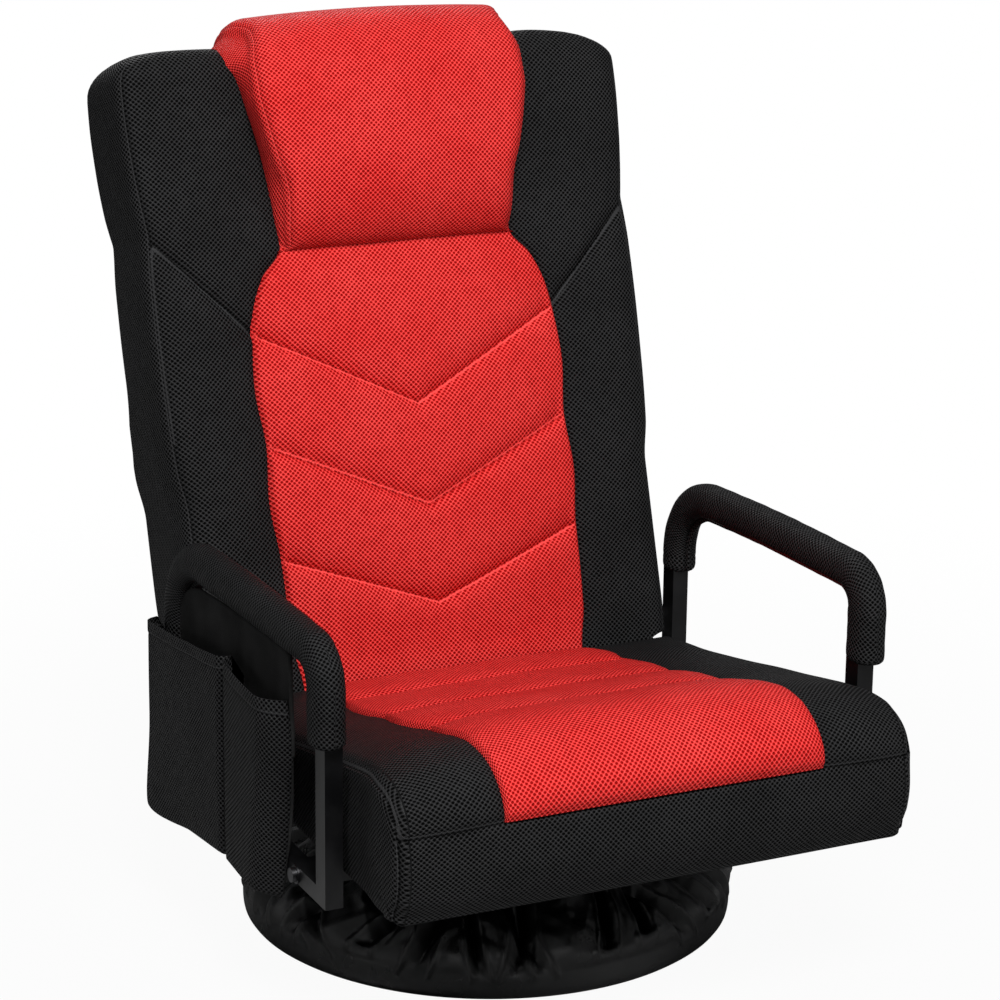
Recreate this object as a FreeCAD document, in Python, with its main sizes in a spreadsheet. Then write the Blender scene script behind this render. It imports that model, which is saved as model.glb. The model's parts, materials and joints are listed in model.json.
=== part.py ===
"""Floor gaming chair: a cushioned seat with arms that swivels on a covered ring base, with a reclining ratchet back.

Millimetres, +Z up. The origin is on the floor, on the swivel axis, in the middle of the ring. The chair faces -Y.
"""
import FreeCAD, Part
import Sketcher
import math
import os

V = FreeCAD.Vector
doc = FreeCAD.newDocument("floor_gaming_chair")
sheet = doc.addObject("Spreadsheet::Sheet", "sizes")
nodes = []


class Size:
    """A length or angle worked out from the sheet: the expression that gives it, and its number now."""

    def __init__(self, text, number):
        self.text = text
        self.number = number

    def join(self, sign, other, number):
        other_text = other.text if isinstance(other, Size) else repr(float(other))
        return Size("(" + self.text + " " + sign + " " + other_text + ")", number)

    def __add__(self, other):
        return self.join("+", other, self.number + number(other))

    def __sub__(self, other):
        return self.join("-", other, self.number - number(other))

    def __mul__(self, other):
        return self.join("*", other, self.number * number(other))

    def __truediv__(self, other):
        return self.join("/", other, self.number / number(other))

    def __neg__(self):
        return Size("(0 - " + self.text + ")", -self.number)


def number(value):
    """The plain number of a size or a number."""
    return value.number if isinstance(value, Size) else float(value)


def size(alias, value):
    """Puts one driving dimension in the next row of the sheet and returns it."""
    row = str(size.row)
    sheet.set("A" + row, alias)
    sheet.set("B" + row, str(value))
    sheet.setAlias("B" + row, alias)
    size.row += 1
    return Size("sizes." + alias, float(value))


size.row = 1
zero = Size("0", 0.0)

# Clearances
slip = size("slip_gap", 0.3)
cloth_gap = size("cloth_gap", 0.4)
wall = size("tube_wall", 1.5)

# Base
ring_radius = size("ring_outer_radius", 240)
ring_side = size("ring_tube_side", 22)
foot_thick = size("foot_thickness", 4)
foot_radius = size("foot_radius", 11)
foot_count = size("foot_count", 6)
leg_side = size("leg_tube_side", 18)
leg_count = size("leg_count", 4)
hub_radius = size("hub_plate_half", 76)
hub_thick = size("hub_plate_thickness", 4)
cover_cloth = size("cover_cloth_thickness", 1.6)
cover_outer = ring_radius + size("cover_slack", 6)
cover_tuck = size("cover_tuck_at_floor", 10)
cover_band = size("cover_band_height", 38)
cover_mouth = size("cover_mouth_radius", 120)
cover_folds = size("cover_fold_count", 14)
cover_fold = size("cover_fold_depth", 9)

# Swivel
race_thick = size("swivel_plate_thickness", 3)
race_half = size("lower_swivel_plate_half", 72)
upper_side = size("upper_swivel_plate_side", 182)
thrust_inner = size("thrust_ring_inner_radius", 44)
thrust_outer = size("thrust_ring_outer_radius", 56)
thrust_thick = size("thrust_ring_thickness", 4.4)
king_radius = size("king_pin_radius", 7)
king_head = size("king_pin_head_radius", 13)
king_head_thick = size("king_pin_head_thickness", 3)
plate_bolt = size("plate_bolt_radius", 4)
plate_head = size("plate_bolt_head_radius", 6.5)
plate_head_thick = size("plate_bolt_head_thickness", 3)
plate_nut_thick = size("plate_nut_thickness", 6)
lower_bolt_circle = size("lower_bolt_circle_radius", 68)
upper_bolt_place = size("upper_bolt_offset", 74)

# Seat under-frame
rail_bottom = size("arm_rail_bottom", 144)
rail_height = size("arm_rail_height", 17)
bar_depth = size("cross_bar_width", 30)
front_bolt_y = size("front_arm_bolt_y", -194)
rear_bolt_y = size("rear_arm_bolt_y", 50)
frame_half = size("seat_frame_half_width", 243)
seat_half = frame_half + size("cushion_past_frame", 18)
seat_front = size("seat_front_y", -386)
seat_rear = size("seat_rear_y", 88)
cloth_thick = size("bottom_cloth_thickness", 1.4)
seat_corner = size("seat_lower_corner_radius", 22)
seat_tube = size("seat_frame_tube_side", 20)
frame_front = size("seat_frame_front_y", -345)
frame_rear = size("seat_frame_rear_y", 72)
frame_corner = size("seat_frame_corner_radius", 40)
strap_width = size("webbing_width", 46)
strap_thick = size("webbing_thickness", 1.6)
seat_strap_count = size("seat_webbing_count", 5)
seat_crest = size("seat_crest_height", 290)
seat_rear_edge = size("seat_rear_edge_height", 218)
panel_half = size("seat_panel_half_width", 162)
channel_size = size("channel_depth", 6)

# Arms
arm_x = seat_half + size("arm_centre_past_seat", 16)
arm_width = size("arm_tube_width", 17.6)
arm_depth = size("arm_tube_depth", 22.3)
front_post_y = size("front_post_centre_y", -253)
rear_post_y = size("rear_post_centre_y", 120)
arm_top_front = size("arm_tube_top_at_front", 392.5)
arm_top_rear = size("arm_tube_top_at_rear", 383.5)
arm_bend_front = size("arm_front_bend_radius", 40)
arm_bend_rear = size("arm_rear_bend_radius", 84)
pad_skin = size("pad_foam_thickness", 7)
pad_side = size("pad_side_thickness", 7.5)
pad_forward = size("pad_front_leg_extra", 6)
pad_front_end = size("pad_front_end_height", 306)
pad_rear_end = size("pad_rear_end_height", 287)
bolt_radius = size("arm_bolt_radius", 4)
bolt_head = size("arm_bolt_head_radius", 7)
bolt_head_thick = size("arm_bolt_head_thickness", 4.5)
washer_radius = size("arm_washer_radius", 9)
washer_thick = size("arm_washer_thickness", 1.6)
bolt_reach = size("arm_bolt_reach_past_rail", 22)
plug_length = size("cross_bar_plug_length", 26)

# Side pouch on the left arm
pouch_cloth = size("pouch_cloth_thickness", 1.8)
pouch_depth = size("pouch_pocket_depth", 22)
pouch_front_y = size("pouch_front_y", -186)
pouch_rear_y = size("pouch_rear_y", 141)
pouch_divider_y = size("pouch_divider_y", -70)
pouch_bottom_front = size("pouch_bottom_front_height", 117)
pouch_bottom_middle = size("pouch_bottom_middle_height", 123)
pouch_bottom_rear = size("pouch_bottom_rear_height", 98)
pouch_mouth_front = size("pouch_mouth_front_height", 321)
pouch_mouth_middle = size("pouch_mouth_middle_height", 326)
pouch_mouth_rear = size("pouch_mouth_rear_height", 300)
pouch_corner = size("pouch_corner_set_back", 20)

# Backrest, in its own plane: along is up the back from the hinge level, and depth runs forward from the front face
recline = size("rest_recline_angle", 17.5)
back_corner = size("back_front_corner_radius", 17)
hinge_y = size("hinge_y", 151)
hinge_z = size("hinge_z", 182)
hinge_depth = size("hinge_depth_in_back", 60)
back_low_half = seat_half + size("back_past_seat", 1.5)
back_high_half = back_low_half + size("wing_step", 15.5)
back_length = size("back_length", 671)
back_thick_low = size("back_thickness_low", 112)
back_thick_high = size("back_thickness_high", 105)
back_frame_half = frame_half + size("back_frame_past_seat_frame", 3.8)
back_tube = size("back_frame_tube_side", 19)
back_frame_low = size("back_frame_start", 46)
back_frame_high = back_length - size("back_frame_below_top", 31)
back_strap_count = size("back_webbing_count", 6)
lumbar_half = size("lumbar_half_width", 169)
lumbar_top_half = size("lumbar_top_half_width", 131)
lumbar_crown = size("lumbar_crown", 15)
head_low = back_length - size("head_cushion_reach_down", 213)
head_top_half = size("head_cushion_top_half_width", 153)
head_bulge = size("head_cushion_bulge", 58)
head_depth = size("head_cushion_depth_over_top", 78)
head_rise = size("head_cushion_rise", 33)

# Ratchet hinge
cheek_thick = size("cheek_plate_thickness", 2.5)
quadrant_thick = size("quadrant_thickness", 4.5)
cheek_radius = size("cheek_disc_radius", 33)
pin_radius = size("hinge_pin_radius", 5)
pin_head = size("hinge_pin_head_radius", 9)
pin_head_thick = size("hinge_pin_head_thickness", 3)
tooth_tip = size("tooth_tip_radius", 30)
tooth_root = size("tooth_root_radius", 25)
tooth_pitch = size("tooth_pitch_angle", 14.5)
tooth_gaps = size("tooth_gap_count", 7)
mesh_angle = size("pawl_mesh_angle", 225)
pawl_lift = size("pawl_lift_angle", 10)
pawl_pivot_y = size("pawl_pivot_back_from_hinge", -45)
pawl_pivot_z = size("pawl_pivot_above_hinge", 1)
pawl_pin = size("pawl_pin_radius", 3)
pawl_boss = size("pawl_boss_radius", 7)
lever_width = size("hinge_lever_width", 24)
lever_length = size("hinge_lever_length", 150)
spring_leaf = size("pawl_spring_thickness", 0.9)

doc.recompute()


def bind(item, name, value):
    """Ties one property of an object to the sheet."""
    if isinstance(value, Size):
        item.setExpression(name, value.text)
    elif "." not in name:
        setattr(item, name, value)
    else:
        item.setExpression(name, repr(float(value)))


def place(item, x, y, z):
    """Ties an object's position to the sheet."""
    bind(item, "Placement.Base.x", x)
    bind(item, "Placement.Base.y", y)
    bind(item, "Placement.Base.z", z)
    return item


def node(item, name):
    """Gives a finished sub-part its name and puts it on the list that is written."""
    item.Label = name
    nodes.append(item)
    return item


def box(x0, x1, y0, y1, z0, z1):
    """A block between two corners."""
    item = doc.addObject("Part::Box", "block")
    bind(item, "Length", x1 - x0)
    bind(item, "Width", y1 - y0)
    bind(item, "Height", z1 - z0)
    return place(item, x0, y0, z0)


def rod(axis, radius, x, y, z, length):
    """A cylinder that starts at a point and runs along +X or +Z."""
    item = doc.addObject("Part::Cylinder", "rod")
    bind(item, "Radius", radius)
    return along(item, axis, x, y, z, length)


def hexagon(axis, radius, x, y, z, length):
    """A hexagonal head or nut that starts at a point and runs along +X or +Z."""
    item = doc.addObject("Part::Prism", "hexagon")
    item.Polygon = 6
    bind(item, "Circumradius", radius)
    return along(item, axis, x, y, z, length)


def along(item, axis, x, y, z, length):
    """Gives a round or hexagonal piece its length and place."""
    bind(item, "Height", length)
    if axis == "X":
        item.Placement.Rotation = FreeCAD.Rotation(V(0, 1, 0), 90)
    return place(item, x, y, z)


def fuse(*items):
    item = doc.addObject("Part::MultiFuse", "fusion")
    item.Shapes = list(items)
    return item


def cut(base, *tools):
    item = doc.addObject("Part::Cut", "cut")
    item.Base = base
    item.Tool = tools[0] if len(tools) == 1 else group(*tools)
    return item


def group(*items):
    item = doc.addObject("Part::Compound", "group")
    item.Links = list(items)
    return item


def mirrored(item):
    """The same piece on the other side of the chair's middle plane."""
    other = doc.addObject("Part::Mirroring", "mirrored")
    other.Source = item
    other.Normal = V(1, 0, 0)
    return other


def pair(item):
    return group(item, mirrored(item))


def plate(plane, outline, start, thickness, holes=(), rounded=None, inner=None):
    """A body padded from a closed outline on one of its own origin planes.

    plane is XY (points x, y, padded up), YZ (points y, z, padded along +X) or XZ (points x, z, padded along -Y).
    holes are (a, b, radius), and rounded gives a radius to corners by their number.
    """
    body = doc.addObject("PartDesign::Body", "body")
    sketch = body.newObject("Sketcher::SketchObject", "outline")
    for feature in body.Origin.OriginFeatures:
        if feature.Role == plane + "_Plane":
            sketch.AttachmentSupport = (feature, [""])
    sketch.MapMode = "FlatFace"
    bind(sketch, "AttachmentOffset.Base.z", start)
    for loop in (outline, inner):
        if loop:
            draw_loop(sketch, loop)
    for a, b, radius in holes:
        hole = sketch.addGeometry(Part.Circle(V(number(a), number(b), 0), V(0, 0, 1), number(radius)))
        pin_down(sketch, hole, 3, a, b)
        constrain(sketch, Sketcher.Constraint("Radius", hole, number(radius)), radius)
    pad = body.newObject("PartDesign::Pad", "pad")
    pad.Profile = sketch
    bind(pad, "Length", thickness)
    doc.recompute([sketch, pad, body])
    if rounded:
        round_corners(body, pad, plane, outline, rounded)
    return body


def constrain(sketch, constraint, value):
    """Adds a constraint and ties its value to the sheet."""
    index = sketch.addConstraint(constraint)
    if isinstance(value, Size):
        sketch.setExpression("Constraints[" + str(index) + "]", value.text)


def pin_down(sketch, geometry, vertex, a, b):
    """Fixes a vertex at a distance from the sketch's origin."""
    for kind, value in (("DistanceX", a), ("DistanceY", b)):
        constraint = Sketcher.Constraint(kind, -1, 1, geometry, vertex, number(value))
        constrain(sketch, constraint, value)


def draw_loop(sketch, outline):
    """Draws a closed outline of straight lines, each corner held by the sheet."""
    count = len(outline)
    first = sketch.GeometryCount
    for i in range(count):
        a, b = outline[i], outline[(i + 1) % count]
        start = V(number(a[0]), number(a[1]), 0)
        end = V(number(b[0]), number(b[1]), 0)
        sketch.addGeometry(Part.LineSegment(start, end))
    for i in range(count):
        following = first + (i + 1) % count
        sketch.addConstraint(Sketcher.Constraint("Coincident", first + i, 2, following, 1))
        pin_down(sketch, first + i, 1, outline[i][0], outline[i][1])


def round_corners(body, base, plane, outline, rounded):
    """Fillets the edges that stand on the numbered corners of an outline."""
    axes = (0, 1) if plane == "XY" else (1, 2)
    for index, radius in rounded.items():
        point = [number(value) for value in outline[index]]
        names = []
        for i, edge in enumerate(base.Shape.Edges):
            ends = [[vertex.Point[axes[0]], vertex.Point[axes[1]]] for vertex in edge.Vertexes]
            near = all(math.dist(end, point) < 0.01 for end in ends)
            if len(ends) == 2 and near:
                names.append("Edge" + str(i + 1))
        fillet = body.newObject("PartDesign::Fillet", "fillet")
        fillet.Base = (base, names)
        bind(fillet, "Radius", radius)
        doc.recompute([fillet, body])
        base = fillet


def made(shape):
    """A piece whose form needs its own curves: lofts and cloth."""
    item = doc.addObject("Part::Feature", "form")
    item.Shape = shape
    return item


def arc(a, b, c):
    return Part.Arc(V(*a), V(*b), V(*c)).toShape()


def line(a, b):
    return Part.LineSegment(V(*a), V(*b)).toShape()


def polar(radius, degrees):
    """A point at a radius and angle about the hinge axis, as y and z from it."""
    angle = math.radians(degrees)
    return (radius * math.cos(angle), radius * math.sin(angle))


# Heights of the base and swivel, from the arm rail down
swivel_top = rail_bottom
upper_low = swivel_top - race_thick
lower_top = upper_low - thrust_thick - slip
lower_low = lower_top - race_thick
hub_low = lower_low - hub_thick
ring_low = foot_thick
ring_high = ring_low + ring_side
ring_inner = ring_radius - ring_side


def revolved(outline):
    """A body turned about the swivel axis from an outline of radius and height."""
    body = doc.addObject("PartDesign::Body", "body")
    sketch = body.newObject("Sketcher::SketchObject", "section")
    for feature in body.Origin.OriginFeatures:
        if feature.Role == "XZ_Plane":
            sketch.AttachmentSupport = (feature, [""])
    sketch.MapMode = "FlatFace"
    draw_loop(sketch, outline)
    turn = body.newObject("PartDesign::Revolution", "turn")
    turn.Profile = sketch
    turn.ReferenceAxis = (sketch, ["V_Axis"])
    turn.Angle = 360
    doc.recompute([sketch, turn, body])
    return body


def base_ring():
    """Rolled square tube that carries the chair, with its lower outer corner eased."""
    ease = wall * 2
    outline = [
        (ring_inner, ring_low),
        (ring_radius - ease, ring_low),
        (ring_radius, ring_low + ease),
        (ring_radius, ring_high),
        (ring_inner, ring_high),
    ]
    node(revolved(outline), "base_ring")


def base_feet():
    """Rubber pads under the ring."""
    outer = cover_outer - cover_tuck - cover_cloth - cloth_gap * 3
    feet = []
    for i in range(int(number(foot_count))):
        block = group(box(ring_inner + wall, outer, -foot_radius, foot_radius, zero, foot_thick))
        turn_by = 360.0 * (i + 0.5) / number(foot_count)
        block.Placement = FreeCAD.Placement(V(0, 0, 0), FreeCAD.Rotation(V(0, 0, 1), turn_by))
        feet.append(block)
    node(group(*feet), "base_feet")


def base_legs():
    """Square tube legs from the ring to the hub plate, bent level where they meet it."""
    half = leg_side / 2
    top = hub_low
    bottom = hub_low - leg_side
    knee = hub_radius + leg_side
    end = hub_radius * 0.3
    start = ring_high - half - wall
    slope = math.atan2(number(top - half - start), number(ring_inner - knee))
    rise = half / math.cos(slope)
    turn = half * math.tan(slope / 2)
    outline = [
        (end, bottom),
        (knee - turn, bottom),
        (ring_inner - slip, start - rise),
        (ring_inner - slip, start + rise),
        (knee + turn, top),
        (end, top),
    ]
    legs = []
    for i in range(int(number(leg_count))):
        leg = plate("XZ", outline, -half, leg_side)
        turn_by = 360.0 * i / number(leg_count)
        leg.Placement = FreeCAD.Placement(V(0, 0, 0), FreeCAD.Rotation(V(0, 0, 1), turn_by))
        legs.append(leg)
    node(group(*legs), "base_legs")


def on_circle(radius, count, turn):
    """Places on a circle as sizes, for holes and bolts."""
    places = []
    for i in range(count):
        angle = math.radians(turn + 360.0 * i / count)
        places.append((radius * math.cos(angle), radius * math.sin(angle)))
    return places


def square_plate(half, low, thick, bore, bolts):
    """A square plate with clipped corners, a bore and four bolt holes."""
    clip = half * 0.3
    outline = []
    for a, b in ((1, 1), (-1, 1), (-1, -1), (1, -1)):
        near = (half * a, (half - clip) * b)
        far = ((half - clip) * a, half * b)
        outline += [near, far] if a == b else [far, near]
    holes = [(x, y, plate_bolt + slip) for x, y in bolts] + [(zero, zero, bore)]
    return plate("XY", outline, low, thick, holes)


def hub_and_swivel():
    """Hub plate, two swivel plates, the thrust ring between them, the king pin and their bolts."""
    bore = king_radius + slip
    lower = on_circle(lower_bolt_circle, 4, 45)
    node(square_plate(hub_radius, hub_low, hub_thick, bore, lower), "hub_plate")
    node(square_plate(race_half, lower_low, race_thick, bore, lower), "swivel_plate_lower")
    bolts = []
    nut_low = hub_low - plate_nut_thick
    for x, y in lower:
        shank = rod("Z", plate_bolt, x, y, nut_low, lower_top - nut_low)
        head = hexagon("Z", plate_head, x, y, lower_top, plate_head_thick)
        nut = hexagon("Z", plate_head, x, y, nut_low, plate_nut_thick)
        bolts.append(fuse(shank, head, nut))
    node(group(*bolts), "swivel_bolts_lower")
    race = rod("Z", thrust_outer, zero, zero, lower_top, thrust_thick)
    node(cut(race, rod("Z", thrust_inner, zero, zero, lower_top - 1, thrust_thick + 2)), "thrust_ring")
    reach = upper_bolt_place
    upper = [(reach, reach), (-reach, reach), (-reach, -reach), (reach, -reach)]
    node(square_plate(upper_side / 2, upper_low, race_thick, bore, upper), "swivel_plate_upper")
    pin_low = hub_low - king_head_thick
    pin = rod("Z", king_radius, zero, zero, pin_low, swivel_top + slip - pin_low)
    cap = hexagon("Z", king_head, zero, zero, swivel_top + slip, king_head_thick)
    tail = hexagon("Z", king_head, zero, zero, pin_low, king_head_thick)
    node(fuse(pin, cap, tail), "king_pin")
    uppers = []
    for x, y in upper:
        shank = rod("Z", plate_bolt, x, y, upper_low, race_thick + wall * 4)
        head = hexagon("Z", plate_head, x, y, upper_low - plate_head_thick, plate_head_thick)
        uppers.append(fuse(shank, head))
    node(group(*uppers), "swivel_bolts_upper")


def pleated_ring(radius, height, depth):
    """Corners of a closed ring of cloth that waves in and out, four to a fold."""
    folds = int(number(cover_folds))
    points = []
    for i in range(4 * folds):
        angle = math.pi * i / (2 * folds)
        uneven = 1.0 + 0.35 * math.sin(3 * angle + 1.0)
        reach = radius + 0.5 * depth * uneven * math.cos(angle * folds)
        points.append(V(reach * math.cos(angle), reach * math.sin(angle), height))
    return points


def facets(low, high):
    """The band of flat facets between two rings of corners, each four-sided cell split where it is twisted."""
    faces = []
    count = len(low)
    for i in range(count):
        a, b = low[i], low[(i + 1) % count]
        d, c = high[i], high[(i + 1) % count]
        if abs((b - a).cross(d - a).dot(c - a)) < 0.001:
            cells = [(a, b, c, d)]
        else:
            cells = [(a, b, c), (a, c, d)]
        for cell in cells:
            faces.append(Part.Face(Part.makePolygon(list(cell) + [cell[0]])))
    return faces


def base_cover():
    """Cloth cover drawn over the ring and legs and gathered round the swivel in folds."""
    band = number(cover_band)
    mouth = number(cover_mouth)
    depth = number(cover_fold)
    outer = number(cover_outer)
    tuck = number(cover_tuck)
    top = number(lower_low) - number(cover_cloth)
    rise = top - band

    def rings(inset):
        stations = [
            (outer - tuck - inset, 1.0, 0.0),
            (outer - tuck * 0.3 - inset, 4.0 + inset * 0.4, 0.0),
            (outer - inset, 9.0, 0.0),
            (outer - inset, band - 8 - inset * 0.5, 0.0),
            (outer - 6 - inset, band - inset, depth * 0.4),
            (outer + (mouth - outer) * 0.33 - inset, band + rise * 0.36 - inset, depth),
            (outer + (mouth - outer) * 0.68 - inset, band + rise * 0.7 - inset, depth),
            (mouth - inset, top, depth * 0.7),
        ]
        return [pleated_ring(*station) for station in stations]

    outside = rings(0.0)
    inside = rings(number(cover_cloth))
    faces = facets(outside[0], inside[0]) + facets(outside[-1], inside[-1])
    for skin in (outside, inside):
        for low, high in zip(skin, skin[1:]):
            faces += facets(low, high)
    node(made(Part.makeSolid(Part.makeShell(faces))), "base_cover")


base_ring()
base_feet()
base_legs()
hub_and_swivel()
base_cover()


# Frame that carries the seat
rail_top = rail_bottom + rail_height
bar_half = bar_depth / 2
rail_inner = arm_x - arm_width / 2
rail_outer = arm_x + arm_width / 2
rail_mid = rail_bottom + rail_height / 2
cloth_low = rail_top + cloth_gap
frame_low = cloth_low + cloth_thick
frame_high = frame_low + seat_tube
strap_high = frame_high + strap_thick
bolt_x = frame_half - seat_tube / 2


def tube_x(x0, x1, y, width, z0, height):
    """Rectangular tube along X."""
    outer = box(x0, x1, y - width / 2, y + width / 2, z0, z0 + height)
    inner = box(x0 - 1, x1 + 1, y - width / 2 + wall, y + width / 2 - wall, z0 + wall, z0 + height - wall)
    return outer, inner


def under_frame():
    """Two cross bars that take the arm bolts, two rails that take the swivel, plugs and bolts."""
    bars = []
    plugs = []
    reach = bolt_reach + 4
    for y in (front_bolt_y, rear_bolt_y):
        outer, inner = tube_x(-rail_inner, rail_inner, y, bar_depth, rail_bottom, rail_height)
        drills = []
        for sign in (1, -1):
            x = bolt_x * sign
            drills.append(rod("Z", plate_bolt + slip, x, y, rail_bottom - 1, rail_height + 2))
        bars.append(cut(outer, inner, *drills))
        block = box(rail_inner - plug_length, rail_inner, y - bar_half + wall, y + bar_half - wall,
                    rail_bottom + wall, rail_top - wall)
        bore = rod("X", bolt_radius + slip / 2, rail_inner - reach, y, rail_mid, reach + 1)
        drill = rod("Z", plate_bolt + slip, bolt_x, y, rail_bottom - 1, rail_height + 2)
        plugs.append(pair(cut(block, bore, drill)))
    node(group(*bars), "cross_bars")
    node(group(*plugs), "cross_bar_plugs")
    rails = []
    for sign in (1, -1):
        x = upper_bolt_place * sign
        y0 = front_bolt_y + bar_half
        y1 = rear_bolt_y - bar_half
        outer = box(x - bar_half, x + bar_half, y0, y1, rail_bottom, rail_top)
        inner = box(x - bar_half + wall, x + bar_half - wall, y0 - 1, y1 + 1, rail_bottom + wall, rail_top - wall)
        holes = []
        for y in (upper_bolt_place, -upper_bolt_place):
            holes.append(rod("Z", plate_bolt + slip, x, y, rail_bottom - 1, wall + 2))
        rails.append(cut(outer, inner, *holes))
    node(group(*rails), "swivel_rails")
    bolts = []
    for y in (front_bolt_y, rear_bolt_y):
        shank = rod("Z", plate_bolt, bolt_x, y, rail_bottom, frame_high - rail_bottom)
        head = hexagon("Z", plate_head, bolt_x, y, rail_bottom - plate_head_thick, plate_head_thick)
        bolts.append(pair(fuse(shank, head)))
    node(group(*bolts), "frame_bolts")


def seat_frame():
    """Square tube frame in the cushion's base, with webbing stretched across it."""
    inner_half = frame_half - seat_tube
    outer = [(frame_half, frame_front), (frame_half, frame_rear), (-frame_half, frame_rear), (-frame_half, frame_front)]
    inner = [
        (inner_half, frame_front + seat_tube),
        (inner_half, frame_rear - seat_tube),
        (-inner_half, frame_rear - seat_tube),
        (-inner_half, frame_front + seat_tube),
    ]
    ring = plate("XY", outer, frame_low, seat_tube, (), {0: frame_corner, 3: frame_corner}, inner)
    holes = []
    for y in (front_bolt_y, rear_bolt_y):
        for sign in (1, -1):
            holes.append(rod("Z", plate_bolt + slip, bolt_x * sign, y, frame_low - 1, seat_tube + 2))
    node(cut(ring, *holes), "seat_frame")
    straps = []
    count = int(number(seat_strap_count))
    for i in range(count):
        middle = frame_front + seat_tube + strap_width * 0.8 + (frame_rear - frame_front - seat_tube * 2
                                                                 - strap_width * 1.6) * (i / max(1, count - 1))
        straps.append(box(-frame_half + 2, frame_half - 2, middle - strap_width / 2, middle + strap_width / 2,
                          frame_high, strap_high))
    clear = []
    for y in (front_bolt_y, rear_bolt_y):
        for sign in (1, -1):
            clear.append(rod("Z", plate_bolt + slip, bolt_x * sign, y, frame_high - 1, strap_thick + 2))
    node(cut(group(*straps), *clear), "seat_webbing")


under_frame()
seat_frame()


# Arms: a bent rectangular tube closed by its bottom rail
pad_start = rail_inner - pad_side / 2
pad_width = arm_width + pad_side * 2
arm_front = front_post_y - arm_depth / 2
arm_rear = rear_post_y + arm_depth / 2


def arm_outline(inset, bottom):
    """Corners of an arm in side view, y and z, drawn in from the tube's outer face, above a bottom level."""
    return [
        (arm_front + inset, bottom),
        (arm_rear - inset, bottom),
        (arm_rear - inset, arm_top_rear - inset),
        (arm_front + inset, arm_top_front - inset),
    ]


def tube_loop(grow, thick, start):
    """The arm's closed loop grown or shrunk evenly; a grown one makes the room for the tube in the pad."""
    outer = arm_outline(-grow, rail_bottom - grow)
    inner = arm_outline(arm_depth + grow, rail_top + grow)
    blank = plate("YZ", outer, start, thick, (), {2: arm_bend_rear + grow, 3: arm_bend_front + grow})
    hole = plate("YZ", inner, start - 1, thick + 2, (),
                 {2: arm_bend_rear - arm_depth - grow, 3: arm_bend_front - arm_depth - grow})
    return cut(blank, hole)


def arm_frames():
    """Both arm loops, hollow, drilled for the bolts that hold them to the cross bars."""
    solid = tube_loop(zero, arm_width, rail_inner)
    hollow = tube_loop(-wall, arm_width - wall * 2, rail_inner + wall)
    drills = []
    for y in (front_bolt_y, rear_bolt_y):
        drills.append(rod("X", bolt_radius + slip, rail_inner - 1, y, rail_mid, arm_width + 2))
    arm = cut(solid, hollow, *drills)
    node(mirrored(arm), "arm_frame_left")
    node(arm, "arm_frame_right")


def arm_bolts():
    """Bolts with washers through each arm rail into the cross bars."""
    bolts = []
    washers = []
    for y in (front_bolt_y, rear_bolt_y):
        start = rail_inner - bolt_reach
        shank = rod("X", bolt_radius, start, y, rail_mid, rail_outer + washer_thick - start)
        head = rod("X", bolt_head, rail_outer + washer_thick, y, rail_mid, bolt_head_thick)
        bolts.append(pair(fuse(shank, head)))
        ring = rod("X", washer_radius, rail_outer, y, rail_mid, washer_thick)
        bore = rod("X", bolt_radius + slip, rail_outer - 1, y, rail_mid, washer_thick + 2)
        washers.append(pair(cut(ring, bore)))
    node(group(*bolts), "arm_bolts")
    node(group(*washers), "arm_washers")


def pad_section(centre, angle, reach, outward, inward):
    """One slice across an arm pad, square to the arm: a flattened round, from its inner to its outer side."""
    out = V(0, math.cos(angle), math.sin(angle))
    middle = number(pad_start + pad_width / 2)
    half = number(pad_width) / 2 + reach

    def at(x, radius):
        return centre + out * radius + V(middle + x, 0, 0)

    def bend(x, sign, radius):
        return at(x * math.sin(math.radians(45)), radius + sign * half * math.cos(math.radians(45)))

    high = outward - half
    low = inward + half
    corners = [at(half, low), bend(half, -1, low), at(0, low - half), bend(-half, -1, low), at(-half, low),
               at(-half, high), bend(-half, 1, high), at(0, high + half), bend(half, 1, high), at(half, high)]
    edges = [arc(corners[0], corners[1], corners[2]), arc(corners[2], corners[3], corners[4])]
    edges.append(line(corners[4], corners[5]))
    edges += [arc(corners[5], corners[6], corners[7]), arc(corners[7], corners[8], corners[9])]
    edges.append(line(corners[9], corners[0]))
    return Part.Wire(edges)


def pad_form(grow):
    """An arm pad before the tube's room is cut from it, grown all round by a gap."""
    front = number(arm_front)
    rear = number(arm_rear)
    slope = number(arm_top_rear - arm_top_front) / (rear - front)
    steep = math.sqrt(1 + slope * slope)
    tilt = math.degrees(math.atan(slope))
    skin = number(pad_skin) + grow
    depth = number(arm_depth)
    bends = ((front, 1, number(arm_bend_front), 180.0), (rear, -1, number(arm_bend_rear), 0.0))
    wires = []
    for edge, side, radius, start in bends:
        y = edge + side * radius
        z = number(arm_top_front) + slope * (y - front) - radius * steep
        steps = 6
        stations = []
        for i in range(steps + 1):
            angle = start + (90.0 + tilt - start) * i / steps
            extra = number(pad_forward) * (1 - i / steps) if side > 0 else 0.0
            stations.append((V(0, y, z), angle, extra))
        end = number(pad_front_end if side > 0 else pad_rear_end) - grow
        stations.insert(0, (V(0, y, end), start, stations[0][2]))
        if side < 0:
            stations.reverse()
        for centre, angle, extra in stations:
            inner = max(radius - depth - skin, 2.0)
            wires.append(pad_section(centre, math.radians(angle), grow, radius + skin + extra, inner))
    return Part.makeLoft(wires, True, True)


def arm_pads():
    """Foam sleeves over the tops of the arms, hollow where the tube runs through."""
    pad = cut(made(pad_form(0.0)), tube_loop(slip, arm_width + slip * 2, rail_inner - slip))
    node(mirrored(pad), "arm_pad_left")
    node(pad, "arm_pad_right")


arm_frames()
arm_bolts()
arm_pads()


# Pouch on the left arm, outside the tube


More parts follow.
